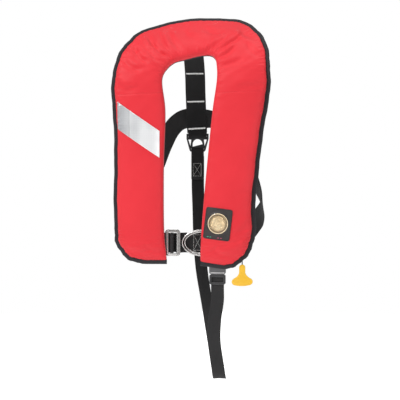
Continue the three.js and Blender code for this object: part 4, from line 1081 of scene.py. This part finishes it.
def strapGrid(stops, width, thick, wave=0.0):
    stops = np.asarray(stops, float)
    length = np.linalg.norm(np.diff(stops[:, :3], axis=0), axis=1).sum()
    t = np.linspace(0, len(stops) - 1, max(strap["fewest"], int(length * strap["perMm"])))
    at = curveThrough(stops[:, :3], t) / 1000
    k = np.minimum(t.astype(int), len(stops) - 2)
    w = (t - k)[:, None]
    facing = unit(stops[:, 3:])
    facing = unit(facing[k] * (1 - w) + facing[k + 1] * w)
    along = unit(np.gradient(at, axis=0))
    across = unit(np.cross(along, facing))
    up = unit(np.cross(across, along))
    # section: flat faces, and edges rounded with a half circle as thick as the strap
    edge = np.linspace(-math.pi / 2, math.pi / 2, 5)
    side = width / 2 - thick / 2
    span = np.linspace(-side, side, strap["across"])
    level = np.full(strap["across"], thick / 2)
    x = np.concatenate([span, side + np.cos(edge) * thick / 2, span[::-1], -side - np.cos(edge) * thick / 2])
    y = np.concatenate([-level, np.sin(edge) * thick / 2, level, -np.sin(edge) * thick / 2])
    section = np.unique(np.round(np.stack([x, y], -1), 9), axis=0)
    order = np.argsort(np.arctan2(section[:, 1] / thick, section[:, 0] / width))
    x, y = section[order].T
    run = travelled(at)
    sag = wave * np.sin(run * 60)[:, None] * (x / width * 2)[None, :] ** 2
    grid = at[:, None] + across[:, None] * x[None, :, None] + up[:, None] * (y[None, :] + sag)[..., None]
    uv = np.stack(np.meshgrid(x, run, indexing="xy"), -1)
    return grid, uv, at, across, up


def makeStrap(name, stops, width, replaced, thick=strap["thick"], wave=0.0):
    grid, uv, at, across, up = strapGrid(stops, width, thick, wave)
    dress(gridPiece(name, grid, closeV=True, caps=True, uv=uv), "webbing", "webbing", *replaced)
    return at, across, up


def levelStops(points, z):
    # a level path: the strap's width stands upright, so it faces the side of its own path
    points = np.asarray(points, float)
    along = unit(np.gradient(points, axis=0))
    facing = np.stack([along[:, 1], -along[:, 0], np.zeros(len(points))], -1)
    return np.hstack([points, np.full((len(points), 1), z), facing])


harness = {
    "x": -1.3, "y": 133.0, "beltY": -1.0, "chestZ": -425.0, "ply": 2.3, "yoke": 0.048, "yokeFold": 0.044,
    "belt": 0.046, "crotch": 0.030, "crotchFold": 0.0292, "foldThick": 0.0038, "crotchWave": 0.0006,
    "yokeBars": (-30.5, -96, -158.5), "barWidth": 0.04048,
}


def makeHarness():
    yokeY, ply = harness["y"] - 4, harness["ply"]
    # the top is sewn to the collar's sheet
    ends = ((0.105, -0.0035), (0.085, -0.0078))
    sewn = [onSheet(np.array(-0.007), np.array(v), np.array(n)) * 1000 for v, n in ends]
    down = [
        [*sewn[0], 0, 0.64, -0.77], [*sewn[1], 0, 0.64, -0.77], [-5, 73, 28, 0, 0.8, 0.3],
        [-4, 92, 0, 0, 0.9, 0.5], [-4, 110, -35, 0, 1, 0.3], [-4.5, 121, -75, 0, 1, 0.2],
        [-4, yokeY - 1, -112, 0, 1, 0], [-3, yokeY, -140, 0, 1, 0], [-1.6, yokeY, -169, 0, 1, 0],
    ]
    yoke = makeStrap("yoke_webbing", down, harness["yoke"], ["yoke_strap"])
    left = [
        [2, yokeY + 2 * ply, -135, 0, 1, 0], [-28, yokeY + 2 * ply, -135, 0, 1, 0.15],
        [-48, 132.5, -144, -0.3, 1, 0.4],
        [-64, 128, -162, -0.6, 1, 0.3], [-80, 120, -197, -0.9, 1, 0], [-94, 110, -240, -1, 0.9, 0],
        [-114, 88, -300, -1, 0.5, 0], [-140, 54, -360, -1, 0.1, 0], [-146, 20, -405, -1, -0.8, 0],
        [-124, 4, -422, -0.4, -1, 0], [-100, -1, -425, 0, -1, 0], [-80, -1, -425, 0, -1, 0],
    ]
    makeStrap("belt_left", left, harness["belt"], ["back_belt_left"])
    right = [
        [5, yokeY + ply, -136, 0, 1, 0], [30, yokeY + ply, -137, 0, 1, 0.5], [54, 132, -146, 0.3, 1, 0.7],
        [82, 125, -175, 0.5, 1, 0.3], [112, 108, -224, 0.8, 1, 0], [141, 82, -282, 1, 0.5, 0],
        [163, 46, -337, 1, 0, 0], [156, 18, -368, 1, -0.8, 0], [142, 3, -385, 0.4, -1, 0],
        [122, -1, -408, 0, -1, 0], [100, -1, -425, 0, -1, 0],
    ]
    makeStrap("belt_right", right, harness["belt"], ["back_belt_right"])
    for number, z in enumerate(harness["yokeBars"]):
        barTack(f"yoke_bar_{number}", yoke, z / 1000, harness["barWidth"])
    slotStrap("yoke_fold", -180.2, 1, 20.7, 20.7, harness["yokeFold"], "yoke_loop")
    slotStrap("crotch_fold", -206.2, -1, 74, 75, harness["crotchFold"], "crotch_loop")
    rear = [
        [harness["x"], harness["y"] + 5.8, -225, 0, 1, 0], [harness["x"], harness["y"] + 5.6, -262, 0, 1, 0],
        [-1.2, harness["y"] + 4, -292, 0, 1, 0], [1, 132, -340, 0, 1, 0], [4, 126, -410, 0, 1, 0],
        [9, 119, -480, 0.15, 1, 0], [19, 108, -540, 0.3, 1, 0], [31, 96, -600, 0.35, 1, 0],
        [43, 83, -662, 0.3, 1, -0.2], [55.4, 65.2, -719, 0.2, 1, -0.7], [61, 48, -738, 0.1, 0.3, -1],
        [65, 32, -741, 0, -0.2, -1], [65, 18, -729, 0, -1, -0.5], [62, 9, -703, 0, -1, 0],
        [56, 1, -650, 0, -1, 0], [58, -2.4, -600, 0, -1, 0], [64, -1, -556, 0, -1, 0],
        [64, -1, -530, 0, -1, 0], [64, -1, -504, 0, -1, 0],
    ]
    makeStrap("crotch_webbing", rear, harness["crotch"],
              ["crotch_strap_rear", "crotch_strap_fold", "crotch_strap_front"], wave=harness["crotchWave"])


def slotStrap(name, z, end, frontReach, backReach, width, node):
    # a strap folded through a slot at height z, whose two ends run up or down from there
    front, back, x = harness["y"] - 4, harness["y"] + 4, harness["x"]
    stops = [
        [x, front, z + end * frontReach, 0, -1, 0], [x, front, z + end * 7, 0, -1, 0],
        [x, front + 0.6, z + end * 1.6, 0, -1, -end], [x, harness["y"], z, 0, 0, -end],
        [x, back - 0.6, z + end * 1.6, 0, 1, -end], [x, back, z + end * 7, 0, 1, 0],
        [x, back, z + end * backReach, 0, 1, 0],
    ]
    makeStrap(name, stops, width, [node], thick=harness["foldThick"])


tack = {"turns": 44, "half": 0.0015, "proud": 0.0018,
        "thread": {"length": 0.0024, "space": 0.0001, "radius": 0.0011}}
boxes = {"point": 0.001, "radius": 0.0006, "chest": ((0.0165, 0.0101, -0.425), (0.0095, 0.018)),
         "crotch": ((-0.0013, 0.1272, -0.2575), (0.0095, 0.015))}


def barTack(name, course, height, width):
    # a dense zigzag across the strap at one height
    at, across, up = course
    row = int(np.argmin(np.abs(at[:, 2] - height)))
    t = np.linspace(-0.5, 0.5, tack["turns"])
    zig = np.where(np.arange(tack["turns"]) % 2 == 0, tack["half"], -tack["half"])
    face = -np.sign(up[row, 1]) * up[row]
    path = at[row] + across[row] * (t * width)[:, None] + (0, 0, 1) * zig[:, None] + face * tack["proud"]
    makeStitches(name, path, np.tile(face, (tack["turns"], 1)), "webbing", "paleThread", **tack["thread"])


def boxStitch(name, centre, half):
    # a rectangle of stitches with both diagonals, its sides drawn as points close together
    (cx, cy, cz), (w, h) = centre, half
    corners = [(-w, -h), (w, -h), (w, h), (-w, h), (-w, -h), (w, h), (w, -h), (-w, h)]
    sides = []
    for (a, b), (c, d) in zip(corners[:-1], corners[1:]):
        count = max(2, int(math.hypot(c - a, d - b) / boxes["point"]))
        t = np.linspace(0, 1, count, endpoint=False)
        sides.append(np.stack([cx + a + (c - a) * t, np.full(count, cy), cz + b + (d - b) * t], -1))
    stitchFront(name, np.vstack(sides), "webbing", "thread", radius=boxes["radius"])


# the male frame's bar, the narrower straps' width, and thicknesses of the straps where they lie doubled
chest = {"maleY": -11.4, "loop": 0.044, "thin": 0.0016, "leftThin": 0.0014, "loopThin": 0.0018}


def makeChest():
    z, beltY, maleY = harness["chestZ"], harness["beltY"], chest["maleY"]
    left = [
        [-79.6, beltY], [-66, beltY], [-55, beltY + 0.1], [-48, -3.6], [-45, maleY + 1.5],
        [-44.8, maleY - 1.9], [-41, maleY - 3.9], [-37.2, maleY - 1.4], [-37.4, maleY + 2.2],
        [-40, maleY + 3.8],
    ]
    ringLoop = [
        [99.4, beltY], [60, beltY], [46, beltY - 1.2], [36, -4], [30.5, -4.2], [27, -1.4], [26.8, 5.4],
        [30.5, 8.4], [36, 8.2], [46, 4.2], [60, beltY + 2.3], [92, beltY + 2.3],
    ]
    bridge = [
        [92, beltY + 4.6], [60, beltY + 4.6], [46, 6.9], [36, 11], [5, 11.2], [-6, 10.6], [-13.5, 8.8],
        [-17.6, 5.4], [-20.6, 2.2], [-21.6, -0.4], [-25, -2.1], [-29.2, -2.3], [-31.2, -5], [-29, -7.9],
        [-25, -7.9],
    ]
    tail = [[-12, 4.2], [-30, 3.6], [-52, 2.6]]
    for name, points, width, node, thick in (
        ("chest_left", left, harness["belt"], ["chest_webbing_left"], chest["leftThin"]),
        ("ring_loop", ringLoop, chest["loop"], ["d_ring_webbing"], chest["loopThin"]),
        ("chest_bridge", bridge, harness["belt"], ["chest_webbing_bridge"], chest["thin"]),
        ("chest_tail", tail, chest["loop"], [], chest["thin"]),
    ):
        makeStrap(name, levelStops(points, z), width, node, thick)
    boxStitch("chest_box", *boxes["chest"])
    boxStitch("crotch_box", *boxes["crotch"])


makeHarness()
makeChest()
print("webbing ready")


# D rings: round wire on a half ellipse closed by a straight bar
ring = {"barX": 0.032, "frontY": -0.0002, "wire": 0.004, "reach": 0.052, "height": 0.063, "apart": 0.0006,
        "backLess": (0.005, 0.008), "bow": 72, "bar": 20, "sides": 20}


def makeRing(name, node, y, reach, height):
    radius = ring["wire"] / 2
    a, b = reach - radius, height / 2 - radius
    turn = np.linspace(math.pi / 2, 1.5 * math.pi, ring["bow"])
    bow = np.stack([a * np.cos(turn), b * np.sin(turn)], -1)
    bar = np.stack([np.zeros(ring["bar"]), np.linspace(-b, b, ring["bar"] + 2)[1:-1]], -1)
    path = np.vstack([bow, bar])
    along = unit(np.roll(path, -1, 0) - np.roll(path, 1, 0))
    side = np.stack([-along[:, 1], along[:, 0]], -1)
    section = fullTurn(ring["sides"])
    flat = path[:, None] + side[:, None] * (radius * np.cos(section))[None, :, None]
    x, z = ring["barX"] + flat[..., 0], harness["chestZ"] / 1000 + flat[..., 1]
    grid = np.stack([x, y + radius * np.sin(section)[None, :] + 0 * x, z], -1)
    dress(gridPiece(name, grid, closeU=True, closeV=True), "steel", "steel", node, body="d_rings")


makeRing("ring_front", "d_ring_front", ring["frontY"], ring["reach"], ring["height"])
makeRing("ring_back", "d_ring_back", ring["frontY"] + ring["wire"] + ring["apart"],
         ring["reach"] - ring["backLess"][0], ring["height"] - ring["backLess"][1])


# hard parts: the CAD shapes with rounded edges
hardParts = {
    # edge's width, material, slot, body, and where it has one the paler material of its rounded edge, a
    # painted highlight
    "chest_frame_female": (0.0013, "steel", "steel", "jacket"),
    "chest_frame_male": (0.0013, "steel", "steel", "male_frame"),
    "webbing_connector": (0.0010, "blackPlastic", "black_plastic", "jacket"),
    "crotch_buckle_female": (0.0016, "buckleGrey", "black_plastic", "jacket", "buckleRim"),
    "crotch_buckle_male": (0.0008, "blackPlastic", "black_plastic", "jacket", "buckleRim"),
    "crotch_prong_left": (0.0004, "blackPlastic", "black_plastic", "prong_left"),
    "crotch_prong_right": (0.0004, "blackPlastic", "black_plastic", "prong_right"),
    "pull_tab": (0.0013, "amber", "amber", "pull", "amberRim"),
    "chest_rivet": (0.0006, "steel", "steel", "jacket"),
    "inflator_body": (0.0008, "blackPlastic", "black_plastic", "jacket"),
    "firing_lever": (0.0006, "amber", "amber", "lever"),
    "belt_keeper_left": (0.0004, "flatWebbing", "webbing", "jacket"),
    "belt_keeper_right": (0.0004, "flatWebbing", "webbing", "jacket"),
    "whistle": (0.0012, "amber", "amber", "jacket"),
}
squash = {"front": 0.30, "back": 0.22, "shallow": 0.010, "fill": 0.4}


def foldedBladder():
    # the bladder's shape, pressed down where it lies in front of the cover's sheet so that folds clear it:
    # the sheet's bend has one centre, and a point's height is its distance from it less the bend's radius
    mesh = nodes["bladder"].data.copy()
    place = pointsOf(mesh)
    centre = np.array([cover["bend"] - cover["neckBack"], cover["bendStart"]])
    away = place[:, 1:] - centre
    turn = np.clip(np.arctan2(away[:, 1], -away[:, 0]), 0, cover["lean"])
    normal = np.stack([-np.cos(turn), np.sin(turn)], -1)
    height = (away * normal).sum(1) - cover["bend"]
    beyond = (away * np.stack([np.sin(turn), np.cos(turn)], -1)).sum(1)
    flat = np.stack([place[:, 0], cover["bendStart"] + cover["bend"] * turn + beyond], -1)
    stop, share, _ = nearestLine(flat, 0.0, lastStop)
    pressed = np.where(height > 0, squash["front"], squash["back"]) * height
    lower = cover["front"] * cover["drawnLow"] * share**1.5 * swell(np.arccos(1 - 2 * share))
    raised = cover["drawn"] * share**2 - lower * np.clip(height / squash["shallow"], 0, 1)
    place[:, 1:] += normal * (edgeLift(stop) * raised - pressed)[:, None]
    mesh.vertices.foreach_set("co", place.ravel())
    piece = finishPiece(mesh, "bladder_pressed")
    dress(piece, "bladder", "bladder", "bladder")


def movedLoop():
    # the lifting loop follows the drawn edge: forward off the sheet and a little inward along it
    mesh = nodes["lifting_loop"].data.copy()
    lean, out, down = cover["lean"], cover["drawn"], cover["drawnIn"]
    shift = (0, -out * math.cos(lean) - down * math.sin(lean), out * math.sin(lean) - down * math.cos(lean))
    mesh.vertices.foreach_set("co", (pointsOf(mesh) + shift).ravel())
    dress(finishPiece(mesh, "lifting_loop_moved", smooth=False), "blackThread", "webbing", "lifting_loop")


def makeHardParts():
    for node, (width, material, slotName, body, *edgeHighlight) in hardParts.items():
        piece = refined(node, width)
        dress(piece, material, slotName, node, body=body)
        # some parts' rounded edges take a paler material: a painted highlight
        for rim in edgeHighlight:
            piece.data.materials.append(materials[rim])
            piece.modifiers["edge"].material = 1


highlightLine = {"radius": 0.0011, "half": 0.43, "end": 0.02, "proud": 0.0002, "up": 0.0035}


def buckleHighlightLine():
    # a light grey raised line across the foot of the buckle's body, a painted highlight on its bar; its
    # radius is less towards both ends
    (x0, y0, z0), (x1, _, _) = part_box("crotch_buckle_female")
    t, turn = np.linspace(-1, 1, 40)[:, None], fullTurn(12)[None, :]
    size = highlightLine["radius"] * np.sqrt(np.maximum(1 - t**8, highlightLine["end"]))
    x = (x0 + x1) / 2 + t * (x1 - x0) * highlightLine["half"] + 0 * turn
    y, z = y0 - highlightLine["proud"], z0 + highlightLine["up"]
    grid = np.stack([x, y + size * np.cos(turn), z + size * np.sin(turn)], -1)
    dress(gridPiece("buckle_highlight_line", grid, closeV=True, caps=True), "lineGrey", "black_plastic")


plainParts = {
    "rubber": ("closure_hook_tape", "closure_loop_tape", "lanyard", "oral_tube", "oral_valve", "oral_cap"),
    "steel": ("piercing_pin", "lever_pin"), "cylinder": ("gas_cylinder",), "mouthRed": ("oral_mouthpiece",),
    "flatWebbing": ("crotch_buckle_tab",),
}


def paintRest():
    # the CAD nodes that are carried over as they are
    for material, names in plainParts.items():
        for node in names:
            nodes[node].data.materials.clear()
            nodes[node].data.materials.append(materials[material])


foldedBladder()
movedLoop()
makeHardParts()
buckleHighlightLine()
paintRest()
print("hard parts ready")
